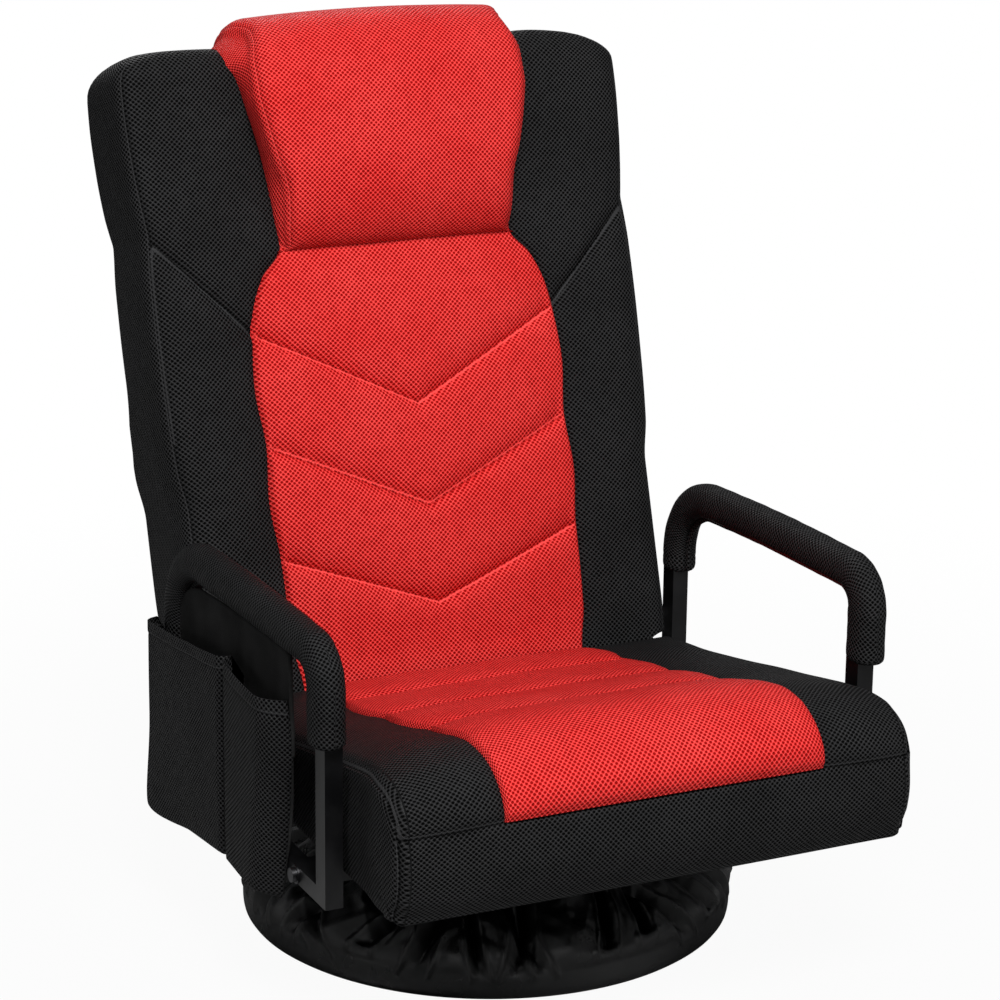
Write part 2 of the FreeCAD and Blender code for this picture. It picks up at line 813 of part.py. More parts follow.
panel_in = rail_outer + cloth_gap
panel_out = panel_in + pouch_cloth


def pouch_front_edge(drop):
    """The pouch's front hem in side view, drawn in at the bottom to clear the arm bolt."""
    return [
        (pouch_front_y + pouch_corner, pouch_bottom_front + drop),
        (pouch_front_y + pouch_corner * 0.4, rail_top + pouch_corner / 2),
        (pouch_front_y - pouch_corner * 0.35, pouch_mouth_front - pouch_corner * 2.8),
    ]


def pouch():
    """Flat lining hung under the pad and two pockets sewn to it side by side."""
    low_front, low_mid, high_front = pouch_front_edge(zero)
    top = arm_top_front - arm_depth
    lining = [
        low_front,
        (pouch_divider_y, pouch_bottom_middle),
        (pouch_rear_y, pouch_bottom_rear),
        (pouch_rear_y, pad_rear_end - cloth_gap),
        (rear_post_y, arm_top_rear - arm_depth),
        (pouch_front_y, top),
        (pouch_front_y, pouch_mouth_front),
        high_front,
        low_mid,
    ]
    bolt_room = [(rear_bolt_y, rail_mid, washer_radius + pouch_cloth * 2)]
    blank = plate("YZ", lining, panel_in, pouch_cloth, bolt_room)
    node(mirrored(cut(blank, made(pad_form(number(cloth_gap))))), "pouch_lining")
    seam = cloth_gap / 2
    outlines = {
        "pouch_front_pocket": [
            low_front,
            (pouch_divider_y - seam, pouch_bottom_middle),
            (pouch_divider_y - seam, pouch_mouth_middle),
            (pouch_front_y, pouch_mouth_front),
            high_front,
            low_mid,
        ],
        "pouch_rear_pocket": [
            (pouch_divider_y + seam, pouch_bottom_middle),
            (pouch_rear_y, pouch_bottom_rear),
            (pouch_rear_y, pouch_mouth_rear),
            (pouch_divider_y + seam, pouch_mouth_middle),
        ],
    }
    for name, outline in outlines.items():
        node(mirrored(pocket(outline)), name)


def pocket(outline):
    """A cloth pocket open at the top and closed by the lining behind it."""
    cloth = pouch_cloth
    middle = number(pouch_bottom_middle + pouch_mouth_middle) / 2
    centre = sum(number(y) for y, z in outline) / len(outline)
    inner = []
    for y, z in outline:
        side = cloth if number(y) < centre else -cloth
        rise = cloth if number(z) < middle else pouch_depth
        if number(z) < number(pouch_mouth_rear - cloth) and number(z) > middle - 40:
            rise = zero
        inner.append((y + side, z + rise))
    shell = plate("YZ", outline, panel_out, pouch_depth + cloth)
    return cut(shell, plate("YZ", inner, panel_out - 1, pouch_depth + 1))


pouch()


def seat_section(y, narrow, lift, drop, crown):
    """One slice across the seat cushion: flat base with rounded corners, bulged sides and a crowned top."""
    half = number(seat_half) - narrow
    low = number(cloth_low) + lift
    edge = number(seat_crest) - drop
    turn = number(seat_corner)
    middle = (low + turn + edge) / 2
    inner = half - turn
    shoulder = half - 4
    return Part.Wire([
        line((-inner, y, low), (inner, y, low)),
        arc((inner, y, low), (half - turn * 0.3, y, low + turn * 0.3), (half - 1, y, low + turn)),
        arc((half - 1, y, low + turn), (half, y, middle), (shoulder, y, edge)),
        arc((shoulder, y, edge), (0, y, edge + crown), (-shoulder, y, edge)),
        arc((-shoulder, y, edge), (-half, y, middle), (1 - half, y, low + turn)),
        arc((1 - half, y, low + turn), (turn * 0.3 - half, y, low + turn * 0.3), (-inner, y, low)),
    ])


def seat_form():
    """The whole seat cushion: a deep roll over the knees that falls away to the back."""
    front = number(seat_front)
    rear = number(seat_rear)
    fall = number(seat_crest - seat_rear_edge)
    stations = [
        (front, 9, 28, 44, 5),
        (front + 3, 5, 19, 35, 6),
        (front + 9, 2, 11, 25, 9),
        (front + 19, 1, 5, 14, 13),
        (front + 32, 0, 1, 7, 17),
        (front + 50, 0, 0, 2, 19),
        (front + 74, 0, 0, 0, 19),
        (front + 100, 0, 0, 2, 17),
        (front + 128, 0, 0, 6, 14),
        (front + 190, 0, 0, fall * 0.27, 11),
        (front + 250, 0, 0, fall * 0.43, 8),
        (front + 330, 0, 0, fall * 0.61, 5),
        (front + 400, 0, 0, fall * 0.78, 4),
        (rear - 26, 1, 0, fall * 0.9, 4),
        (rear - 8, 3, 0, fall * 0.96, 4),
        (rear, 7, 3, fall, 3),
    ]
    return Part.makeLoft([seat_section(*station) for station in stations], True, True)


def block_shape(x0, x1, y0, y1, z0, z1):
    """A plain block as a shape, for cutting cushions."""
    return Part.makeBox(x1 - x0, y1 - y0, z1 - z0, V(x0, y0, z0))


def seat_cushions():
    """Black cushion with the room for the frame under it, and the red channelled panel let into its top."""
    form = seat_form()
    low = number(cloth_low)
    half = number(frame_half) + number(cloth_gap)
    gap = number(cloth_gap)
    room = block_shape(-half, half, number(frame_front) - gap, number(frame_rear) + gap, low - 1,
                       number(strap_high) + gap)
    thick = number(cheek_end) - number(cheek_in) + 2.5
    side = block_shape(half - 1, half + thick, number(cheek_front) - 2, number(seat_rear) + 1, low - 1,
                       number(hinge_z) + 14)
    sides = side.fuse(side.mirror(V(0, 0, 0), V(1, 0, 0)))
    panel_width = number(panel_half)
    front, rear = number(seat_front) - 5, number(seat_rear) + 5
    seam = number(seat_crest) - 36
    tail = number(seat_rear_edge) - 14
    side_view = [(front, seam), (rear, tail), (rear, seam + 150), (front, seam + 150)]
    prism = prism_along_x(side_view, -panel_width, 2 * panel_width)
    slit = prism_along_x(side_view, -panel_width - gap, 2 * (panel_width + gap))
    slit.translate(V(0, 0, -gap))
    cushion = form.cut(room).cut(sides).cut(slit)
    panel = form.common(prism)
    depth = number(channel_size)
    for i in range(4):
        y = number(seat_front) + 112 + i * 62
        drop = form_height(form, 0, y)
        groove = Part.makeBox(2 * panel_width + 20, depth * 1.5, depth * 1.5)
        groove.Placement = FreeCAD.Placement(V(-panel_width - 10, 0, 0), FreeCAD.Rotation())
        groove.rotate(V(0, 0, 0), V(1, 0, 0), 45)
        groove.translate(V(0, y, drop - depth * 1.4))
        panel = panel.cut(groove)
    node(made(cushion), "seat_cushion")
    node(made(panel), "seat_center_panel")


def form_height(form, x, y):
    """Height of a cushion's top at a place."""
    probe = Part.makeLine(V(x, y, 0), V(x, y, 500)).common(form)
    return max(vertex.Point.z for vertex in probe.Vertexes)


def bottom_cloth():
    """Dust cloth that closes the underside of the seat, drilled where the frame bolts pass."""
    half = frame_half
    blank = box(-half, half, frame_front, frame_rear, cloth_low, frame_low)
    holes = []
    for y in (front_bolt_y, rear_bolt_y):
        for sign in (1, -1):
            holes.append(rod("Z", plate_bolt + slip, bolt_x * sign, y, cloth_low - 1, cloth_thick + 2))
    node(cut(blank, *holes), "seat_bottom_cloth")


# Ratchet hinge, from the inside out
cheek_front = hinge_y - 111
quadrant_in = back_frame_half
cheek_in = quadrant_in - slip - cheek_thick
outer_cheek = quadrant_in + quadrant_thick + slip
cheek_end = outer_cheek + cheek_thick
pawl_in = quadrant_in + slip / 4
pawl_thick = quadrant_thick - slip / 2
pivot_y = hinge_y + pawl_pivot_y
pivot_z = hinge_z + pawl_pivot_z
rivet_radius = plate_bolt + 2.5
rivet_z = frame_low + 11
rivet_places = (cheek_front + 14, cheek_front + 44)
rivet_head = cheek_thick * 0.8


def cheek(start):
    """One side plate of the seat's half of the hinge, holding both pins."""
    clip = cheek_radius * 0.45
    outline = [
        (cheek_front, frame_low + 2),
        (hinge_y - 52, frame_low + 2),
        (hinge_y - 38, hinge_z - cheek_radius),
        (hinge_y + clip, hinge_z - cheek_radius),
        (hinge_y + cheek_radius, hinge_z - clip),
        (hinge_y + cheek_radius, hinge_z + clip),
        (hinge_y + clip, hinge_z + cheek_radius),
        (hinge_y - cheek_radius * 0.6, hinge_z + cheek_radius * 0.8),
        (hinge_y - 56, hinge_z + 12),
        (cheek_front, frame_high - 1),
    ]
    holes = [
        (hinge_y, hinge_z, pin_radius + slip / 2),
        (pivot_y, pivot_z, pawl_pin + slip / 2),
    ]
    return plate("YZ", outline, start, cheek_thick, holes)


def hinge_seat_side():
    """Two cheek plates on each side, riveted over spacers, with the pins of the hinge and the pawl."""
    inner = cheek(cheek_in)
    outer = cheek(outer_cheek)
    rivets = []
    for y in rivet_places:
        rivets.append(hexagon("X", rivet_radius, cheek_in + cheek_thick, y, rivet_z, outer_cheek - cheek_in - cheek_thick))
        rivets.append(hexagon("X", rivet_radius, cheek_end, y, rivet_z, rivet_head))
    plates = fuse(inner, outer, *rivets)
    node(mirrored(plates), "hinge_cheeks_left")
    node(plates, "hinge_cheeks_right")
    pin = rod("X", pin_radius, cheek_in - 2, hinge_y, hinge_z, cheek_end - cheek_in + 2)
    head = rod("X", pin_head, cheek_end, hinge_y, hinge_z, pin_head_thick)
    node(pair(fuse(pin, head)), "hinge_pins")
    small = rod("X", pawl_pin, cheek_in - 1.5, pivot_y, pivot_z, cheek_end - cheek_in + 1.5)
    cap = rod("X", pawl_pin + 2, cheek_end, pivot_y, pivot_z, Size("1.5", 1.5))
    node(pair(fuse(small, cap)), "pawl_pins")


def turned(points, about, degrees):
    """Points turned about another point, counterclockwise seen from +X."""
    angle = math.radians(degrees)
    out = []
    for y, z in points:
        dy, dz = y - about[0], z - about[1]
        out.append((about[0] + dy * math.cos(angle) - dz * math.sin(angle),
                    about[1] + dy * math.sin(angle) + dz * math.cos(angle)))
    return out


def prism_along_x(points, x0, thick):
    """A straight prism from a closed outline of y and z."""
    wire = Part.makePolygon([V(x0, y, z) for y, z in points + points[:1]])
    return Part.Face(wire).extrude(V(thick, 0, 0))


def pawls():
    """The two pawls, drawn lifted clear of the teeth by their own pivot."""
    root = number(tooth_root)
    tip = number(tooth_tip)
    gap = number(slip)
    mesh = number(mesh_angle)
    pivot = (number(pawl_pivot_y), number(pawl_pivot_z))
    boss = number(pawl_boss)
    locked = [
        polar(root + gap, mesh + 2.5),
        polar(tip + 7, mesh + 2.5),
        (pivot[0] - boss * 0.9, pivot[1] - boss * 0.45),
        (pivot[0] + boss * 0.9, pivot[1] - boss * 0.2),
        polar(tip + 0.6, mesh - 8.6),
        polar(root + gap, mesh - 0.4),
    ]
    lifted = turned(locked, pivot, -number(pawl_lift))
    at = [(number(hinge_y) + y, number(hinge_z) + z) for y, z in lifted]
    x0 = number(pawl_in)
    thick = number(pawl_thick)
    blade = prism_along_x(at, x0, thick)
    centre = V(x0, number(pivot_y), number(pivot_z))
    blade = blade.fuse(Part.makeCylinder(boss, thick, centre, V(1, 0, 0)))
    blade = blade.cut(Part.makeCylinder(number(pawl_pin) + gap / 2, thick + 2, centre - V(1, 0, 0), V(1, 0, 0)))
    right = made(blade.removeSplitter())
    node(mirrored(right), "pawl_left")
    node(right, "pawl_right")
    spring(at)


def spring(at):
    """Leaf that lies on the lower rivet and bears on the pawl's back."""
    thick = number(spring_leaf)
    gap = number(slip)
    heel = at[1]
    toe = at[2]
    length = math.dist(heel, toe)
    along = ((toe[0] - heel[0]) / length, (toe[1] - heel[1]) / length)
    out = (-along[1], along[0])
    if out[1] > 0:
        out = (-out[0], -out[1])
    touch = (heel[0] + along[0] * length * 0.35 + out[0] * gap, heel[1] + along[1] * length * 0.35 + out[1] * gap)
    root_y = number(rivet_places[1])
    root_z = number(rivet_z - rivet_radius) - gap * 0.5
    points = [
        (root_y - 9, root_z),
        (root_y + 3, root_z),
        (touch[0], touch[1]),
        (touch[0] + out[0] * thick, touch[1] + out[1] * thick),
        (root_y + 3, root_z - thick),
        (root_y - 9, root_z - thick),
    ]
    leaf = made(prism_along_x(points, number(pawl_in), number(pawl_thick)))
    node(pair(leaf), "pawl_springs")


def quadrants():
    """Toothed quadrants on the levers that carry the back frame."""
    root = number(tooth_root)
    tip = number(tooth_tip)
    pitch = number(tooth_pitch)
    mesh = number(mesh_angle)
    gaps = int(number(tooth_gaps))
    first = mesh - pitch
    points = []
    for i in range(gaps):
        middle = first + pitch * i
        points.append(polar(tip, middle - 9.4))
        points.append(polar(root, middle - 1.2))
        points.append(polar(root, middle + 3.5))
        points.append(polar(tip, middle + 3.5))
    last = first + pitch * (gaps - 1) + 3.5
    lean = 90.0 - number(recline)
    half = number(lever_width) / 2
    length = number(lever_length)
    hub = number(tooth_tip)

    def lever(u, side):
        return turned([(u, side)], (0, 0), lean)[0]

    points += [polar(hub, last + 12), polar(hub, last + 24)]
    points += [lever(hub * 0.9, -half), lever(length, -half), lever(length, half), lever(hub * 0.9, half)]
    points += [polar(hub, lean + 50), polar(hub, lean + 70), polar(hub, first - 24)]
    at = [(number(hinge_y) + y, number(hinge_z) + z) for y, z in points]
    x0 = number(quadrant_in)
    thick = number(quadrant_thick)
    body = prism_along_x(at, x0, thick)
    centre = V(x0 - 1, number(hinge_y), number(hinge_z))
    body = body.cut(Part.makeCylinder(number(pin_radius) + number(slip) / 2, thick + 2, centre, V(1, 0, 0)))
    for u in (length - 16, length - 60):
        y, z = lever(u, 0)
        place_at = V(x0 - 1, number(hinge_y) + y, number(hinge_z) + z)
        body = body.cut(Part.makeCylinder(number(plate_bolt) + number(slip) / 2, thick + 2, place_at, V(1, 0, 0)))
    right = made(body)
    node(mirrored(right), "hinge_quadrant_left")
    node(right, "hinge_quadrant_right")


bottom_cloth()
seat_cushions()
hinge_seat_side()
pawls()
quadrants()


# Backrest, built upright with the hinge axis along X through its origin, then leaned back
lean_back = FreeCAD.Placement(V(0, number(hinge_y), number(hinge_z)), FreeCAD.Rotation(V(1, 0, 0), -number(recline)))
face = -number(hinge_depth)
half_tube = back_tube / 2
slot_half = number(cheek_end) + 1.6


def lean(item, turn=None):
    """Sets a finished back piece at the photographed recline."""
    item.Placement = lean_back.multiply(turn) if turn else lean_back
    return item


def back_frame_parts():
    """Bent square tube hoop with two cross bars and webbing on its front, bolted to the hinge levers."""
    outside = back_frame_half
    inside = back_frame_half - back_tube
    top = back_frame_high
    outline = [
        (-outside, back_frame_low), (-inside, back_frame_low), (-inside, top - back_tube), (inside, top - back_tube),
        (inside, back_frame_low), (outside, back_frame_low), (outside, top), (-outside, top),
    ]
    bend = frame_corner + back_tube
    hoop = plate("XY", outline, -half_tube, back_tube, (), {6: bend, 7: bend, 2: frame_corner, 3: frame_corner})
    drills = []
    for up in (lever_length - 16, lever_length - 60):
        drills.append(rod("X", plate_bolt + slip / 2, -outside - 1, up, zero, outside * 2 + 2))
    upright = FreeCAD.Placement(V(0, 0, 0), FreeCAD.Rotation(V(1, 0, 0), 90))
    node(lean(group(cut(hoop, *drills)), upright), "back_frame")
    bars = []
    for share in (0.28, 0.62):
        up = back_length * share
        bars.append(box(-inside, inside, -half_tube * 0.8, half_tube * 0.8, up - half_tube, up + half_tube))
    node(lean(group(*bars)), "back_cross_bars")
    straps = []
    count = int(number(back_strap_count))
    for i in range(count):
        up = back_frame_low + strap_width + (top - back_frame_low - strap_width * 2.6) * (i / max(1, count - 1))
        straps.append(box(-outside + 3, outside - 3, -half_tube - strap_thick, -half_tube,
                          up - strap_width / 2, up + strap_width / 2))
    node(lean(group(*straps)), "back_webbing")
    bolts = []
    lever_out = quadrant_in + quadrant_thick
    for up in (lever_length - 16, lever_length - 60):
        start = back_frame_half - back_tube - 3
        shank = rod("X", plate_bolt, start, zero, up, lever_out - start)
        cap = hexagon("X", plate_head, lever_out, zero, up, plate_head_thick)
        tail = hexagon("X", plate_head, start, zero, up, plate_head_thick)
        bolts.append(pair(fuse(shank, cap, tail)))
    node(lean(group(*bolts)), "back_hinge_bolts")


def back_section(up, half, thick, inset, crown):
    """One slice across the back cushion: flat rear, bulged sides, rounded front corners and a crowned front."""
    rear = face + thick
    front = face + inset
    turn = number(back_corner)
    side = front + turn
    heel = rear - 9
    points = [
        (half - 9, rear), (half - 2.5, rear - 2.5), (half - 1, heel),
        (half, (heel + side) / 2), (half - 1, side),
        (half - 1 - turn * 0.3, front + turn * 0.3), (half - 1 - turn, front),
    ]
    right = [(x, y, up) for x, y in points]
    left = [(-x, y, up) for x, y in points]
    return Part.Wire([
        line(left[0], right[0]),
        arc(right[0], right[1], right[2]),
        arc(right[2], right[3], right[4]),
        arc(right[4], right[5], right[6]),
        arc(right[6], (0, front - crown, up), left[6]),
        arc(left[6], left[5], left[4]),
        arc(left[4], left[3], left[2]),
        arc(left[2], left[1], left[0]),
    ])


def back_form():
    """The whole back cushion: narrow between the arms and wider at the wings above them."""
    low = number(back_low_half)
    wide = number(back_high_half)
    length = number(back_length)
    thick = number(back_thick_low)
    thin = number(back_thick_high)

    def depth(up):
        return thick + (thin - thick) * up / length

    stations = [
        (0, low - 8, thick - 10, 7, 3),
        (6, low - 4, thick - 4, 3, 3),
        (18, low - 1, thick, 0, 4),
        (60, low, depth(60), 0, 5),
        (232, low, depth(232), 0, 5),
        (262, wide - 7, depth(262), 0, 5),
        (length * 0.462, wide - 4, depth(310), 0, 5),
        (length * 0.581, wide - 2.5, depth(390), 0, 5),
        (length * 0.656, wide - 4, depth(440), 0, 5),
        (length - 189, wide - 8, depth(480), 0, 5),
        (length - 150, wide - 4, depth(520), 0, 5),
        (length - 110, wide - 1, depth(560), 0, 5),
        (length - 60, wide + 1, depth(610), 0, 5),
        (length - 34, wide - 1, depth(640), 0, 5),
        (length - 17, wide - 6, depth(655) - 5, 3, 4),
        (length - 6, wide - 15, depth(665) - 13, 8, 3),
        (length, wide - 28, depth(670) - 25, 16, 2),
    ]
    return Part.makeLoft([back_section(*station) for station in stations], True, True)


def lumbar_outline(grow):
    """The red panel seen from the front: straight sides that draw in to the head cushion."""
    half = number(lumbar_half) + grow
    top_half = number(lumbar_top_half) + grow
    high = number(head_low)
    low = 4.0 - grow * 2
    shoulder = high - 78
    return Part.Wire([
        line((half - 8, 0, low), (half, 0, 60)),
        line((half, 0, 60), (half, 0, shoulder)),
        arc((half, 0, shoulder), (half - 10, 0, high - 42), (top_half, 0, high)),
        line((top_half, 0, high), (-top_half, 0, high)),
        arc((-top_half, 0, high), (10 - half, 0, high - 42), (-half, 0, shoulder)),
        line((-half, 0, shoulder), (-half, 0, 60)),
        line((-half, 0, 60), (8 - half, 0, low)),
        line((8 - half, 0, low), (half - 8, 0, low)),
    ])


def head_outline(grow):
    """The head cushion seen from the front: narrow at the neck and wide at the top."""
    neck = number(lumbar_top_half) + grow
    wide = number(head_top_half) + grow
    low = number(head_low) + number(cloth_gap) - grow
    high = number(back_length + head_rise) + grow
    shoulder = high - 80
    right = [
        (neck, low), (neck + 2, low + 46), (neck + 9, low + 100), (wide, shoulder),
        (wide + 1, high - 45), (wide - 18, high - 15), (0, high),
    ]

    def at(index, side=1):
        return (side * right[index][0], 0, right[index][1])

    edges = []
    for side in (1, -1):
        edges.append(line(at(0, side), at(1, side)))
        edges.append(arc(at(1, side), at(2, side), at(3, side)))
        edges.append(arc(at(3, side), at(4, side), at(5, side)))
    top = arc(at(5), at(6), at(5, -1))
    return Part.Wire(Part.__sortEdges__(edges + [top, line(at(0), at(0, -1))]))


def front_prism(outline, y0, y1):
    """A front view pushed through a span of depth."""
    face_shape = Part.Face(outline)
    face_shape.translate(V(0, y0, 0))
    return face_shape.extrude(V(0, y1 - y0, 0))


def groove(start, end, width):
    """A square rod on its edge between two points, to press a seam into a cushion."""
    direction = end - start
    rod_shape = Part.makeBox(direction.Length, width, width, V(0, -width / 2, -width / 2))
    rod_shape.rotate(V(0, 0, 0), V(1, 0, 0), 45)
    rod_shape.Placement = FreeCAD.Placement(start, FreeCAD.Rotation(V(1, 0, 0), direction)).multiply(rod_shape.Placement)
    return rod_shape


def front_at(form, x, up):
    """Depth of a cushion's front at a place."""
    probe = Part.makeLine(V(x, -300, up), V(x, 200, up)).common(form)
    return min(vertex.Point.y for vertex in probe.Vertexes)


def press_seam(cushion, form, places, width, depth):
    """Presses a V groove along a chain of places on a cushion's front."""
    points = []
    for x, up in places:
        points.append(V(x, front_at(form, x, up) + depth - width / math.sqrt(2), up))
    for a, b in zip(points, points[1:]):
        cushion = cushion.cut(groove(a, b, width))
    return cushion


def back_cushions():
    """Black back cushion with room for its frame, the red channelled panel and the head cushion."""
    form = back_form()
    gap = number(cloth_gap)
    half = number(back_frame_half) + gap
    tube = number(half_tube)
    room = block_shape(-half, half, -tube - number(strap_thick) - gap, tube + gap,
                       number(back_frame_low) - gap, number(back_frame_high) + gap)
    inside = number(cheek_in) - 2.6
    reach = number(back_low_half) + 20
    lever_half = number(lever_width) / 2 + gap
    notch = block_shape(inside, reach, face + 21, 200, -10, number(cheek_radius) + 7)
    notch = notch.fuse(block_shape(inside, reach, -200, face + 22, -10, 18))
    notch = notch.fuse(block_shape(half - 1, slot_half, -lever_half, lever_half, number(cheek_radius),
                                   number(lever_length) + 1))
    notches = notch.fuse(notch.mirror(V(0, 0, 0), V(1, 0, 0)))
    recess = front_prism(lumbar_outline(gap), face - 50, face + 24 + gap)
    seat_of_head = front_prism(head_outline(gap), face - 50, face + 2 + gap)
    cushion = form.cut(room).cut(notches).cut(recess).cut(seat_of_head)
    length = number(back_length)
    for side in (1, -1):
        seam = [(side * (number(back_high_half) - 14), length - 187), (side * (number(lumbar_half) + 3), length - 287)]
        cushion = press_seam(cushion, form, seam, 4, 3)
    node(lean(made(cushion)), "back_cushion")
    lumbar_panel()
    head_cushion()


def lumbar_panel():
    """The red panel: a crowned pad with three chevron channels."""
    half = number(lumbar_half) + 6
    crown = number(lumbar_crown)
    rear = face + 24
    edge = face - 1
    wires = []
    for up, share in ((0, 0.05), (46, 0.15), (96, 0.8), (200, 1.0), (300, 1.0), (370, 0.85), (420, 0.65), (470, 0.4)):
        wires.append(Part.Wire([
            line((-half, rear, up), (half, rear, up)),
            line((half, rear, up), (half, edge, up)),
            arc((half, edge, up), (0, face - crown * share, up), (-half, edge, up)),
            line((-half, edge, up), (-half, rear, up)),
        ]))
    form = Part.makeLoft(wires, True, True)
    panel = form.common(front_prism(lumbar_outline(0.0), face - 60, face + 60))
    edge = number(lumbar_half) + 3
    top = number(head_low)
    chevrons = ((top - 78, top - 165), (top - 193, top - 271), (top - 307, top - 371))
    for high, low in chevrons:
        chain = [(-edge, high), (-edge / 2, (high + low) / 2), (0, low), (edge / 2, (high + low) / 2), (edge, high)]
        panel = press_seam(panel, form, chain, 6, 4)
    node(lean(made(panel)), "lumbar_panel")


def head_section(x, share, top):
    """Side view of the head cushion at one place across it: a deep pillow that wraps over the back's top."""
    neck = number(head_low) + number(cloth_gap)
    cap = number(back_length) + number(cloth_gap)
    high = number(back_length) + top
    rear = face + number(head_depth)
    out = face - number(head_bulge) * share
    base = face + 2
    return Part.Wire([
        line((x, base, neck), (x, face - 9, neck)),
        arc((x, face - 9, neck), (x, out + 9, neck + 30), (x, out, neck + 88)),
        arc((x, out, neck + 88), (x, out + 3, high - 72), (x, out + 26, high - 22)),
        arc((x, out + 26, high - 22), (x, (out + face) / 2 + 20, high - 4), (x, face + 30, high)),
        arc((x, face + 30, high), (x, rear - 13, high - 8), (x, rear, cap)),
        line((x, rear, cap), (x, base, cap)),
        line((x, base, cap), (x, base, neck)),
    ])


def head_cushion():
    """The red head cushion over the top of the back."""
    wide = number(head_top_half) + 6
    rise = number(head_rise)
    wires = []
    for step in (-1.0, -0.8, -0.5, -0.2, 0.2, 0.5, 0.8, 1.0):
        fall = step * step
        wires.append(head_section(wide * step, 1.0 - 0.3 * fall, rise - 7 * fall))
    form = Part.makeLoft(wires, True, True)
    cushion = form.common(front_prism(head_outline(0.0), face - 120, face + 140))
    node(lean(made(cushion)), "head_cushion")


back_frame_parts()
back_cushions()


def finish():
    """Checks every object and writes one file for each sub-part."""
    doc.recompute()
    for item in doc.Objects:
        for state in ("Invalid", "Error"):
            if state in item.State:
                raise ValueError(item.Label + " (" + item.Name + ") is " + state)
    os.makedirs("parts", exist_ok=True)
    for item in nodes:
        shape = item.Shape
        if shape.isNull() or not shape.isValid() or not shape.Solids:
            raise ValueError(item.Label + " has no valid solid")
        shape.exportStep("parts/" + item.Label + ".step")


finish()
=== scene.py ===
import bmesh
import bpy
import json
import math
import numpy as np
from mathutils import Matrix, Vector


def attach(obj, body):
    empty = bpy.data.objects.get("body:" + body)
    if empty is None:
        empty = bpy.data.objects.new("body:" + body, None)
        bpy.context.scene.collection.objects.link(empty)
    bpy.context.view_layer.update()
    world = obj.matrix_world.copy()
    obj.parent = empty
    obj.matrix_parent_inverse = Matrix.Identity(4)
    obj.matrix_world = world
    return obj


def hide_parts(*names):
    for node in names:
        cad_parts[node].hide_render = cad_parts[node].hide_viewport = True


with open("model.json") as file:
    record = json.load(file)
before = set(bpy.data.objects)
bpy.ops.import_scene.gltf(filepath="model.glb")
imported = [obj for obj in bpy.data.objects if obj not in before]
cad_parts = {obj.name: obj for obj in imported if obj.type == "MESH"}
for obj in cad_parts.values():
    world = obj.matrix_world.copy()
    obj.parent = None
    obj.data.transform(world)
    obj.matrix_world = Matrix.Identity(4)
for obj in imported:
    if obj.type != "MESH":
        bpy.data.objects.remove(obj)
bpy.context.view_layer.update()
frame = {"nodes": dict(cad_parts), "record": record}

MM = 0.001
RECLINE = math.radians(17.5)
HINGE_Y, HINGE_Z, HINGE_DEPTH = 151.0, 182.0, 60.0


# Numbers and curves

def smooth(low, high, value):
    """0 below low, 1 above high, and an even rise between them."""
    t = np.clip((np.asarray(value, float) - low) / (high - low), 0.0, 1.0)
    return t * t * (3 - 2 * t)


def bump(distance, width):
    """1 at a line, and nothing a few widths away from it."""
    return np.exp(-(np.asarray(distance, float) / width) ** 2)


def curve(*pairs):
    """A smooth curve through (place, value) pairs that never overshoots them."""
    x, y = np.array(pairs, float).T
    step = np.diff(x)
    slope = np.diff(y) / step
    lean = np.zeros(len(x))
    for i in range(1, len(x) - 1):
        if slope[i - 1] * slope[i] > 0:
            a, b = 2 * step[i] + step[i - 1], step[i] + 2 * step[i - 1]
            lean[i] = (a + b) / (a / slope[i - 1] + b / slope[i])
    lean[0], lean[-1] = slope[0], slope[-1]

    def at(value):
        value = np.clip(np.asarray(value, float), x[0], x[-1])
        i = np.clip(np.searchsorted(x, value, side="right") - 1, 0, len(step) - 1)
        t = (value - x[i]) / step[i]
        return (y[i] * (2 * t ** 3 - 3 * t ** 2 + 1) + y[i + 1] * (3 * t ** 2 - 2 * t ** 3)
                + step[i] * (lean[i] * (t ** 3 - 2 * t ** 2 + t) + lean[i + 1] * (t ** 3 - t ** 2)))

    return at


def lengths(line):
    """Distance along a chain of points, starting from nought."""
    return np.concatenate([[0.0], np.cumsum(np.linalg.norm(np.diff(line, axis=0), axis=1))])


def unit(vectors):
    """The same directions with a length of one."""
    return vectors / np.maximum(np.linalg.norm(vectors, axis=-1, keepdims=True), 1e-9)


def even(line, count):
    """The same chain with evenly spaced points."""
    along = lengths(line)
    want = np.linspace(0.0, along[-1], count)
    return np.stack([np.interp(want, along, column) for column in line.T], -1)


def spline(points, count):
    """An evenly spaced smooth chain through a few points."""
    points = np.array(points, float)
    along = lengths(points)
    want = np.linspace(0.0, along[-1], count * 4)
    columns = [curve(*zip(along, column))(want) for column in points.T]
    return even(np.stack(columns, -1), count)


def crowded(count, power):
    """Places from -1 to 1 that lie closer together toward both ends."""
    t = np.linspace(-1.0, 1.0, count)
    return np.sign(t) * (1 - (1 - np.abs(t)) ** power)


def waves(a, b, seed, size):
    """Slow uneven swells over two coordinates in millimetres, from -1 to 1."""
    random = np.random.default_rng(seed)
    total = np.zeros(np.broadcast(a, b).shape)
    for octave in range(2):
        for _ in range(4):
            angle, phase = random.uniform(0, 2 * math.pi, 2)
            k = 2 * math.pi * 1.7 ** octave / (size * random.uniform(0.8, 1.3))
            way = a * math.cos(angle) + b * math.sin(angle)
            total = total + np.sin(k * way + phase) / (4 * 1.6 ** octave)
    return total


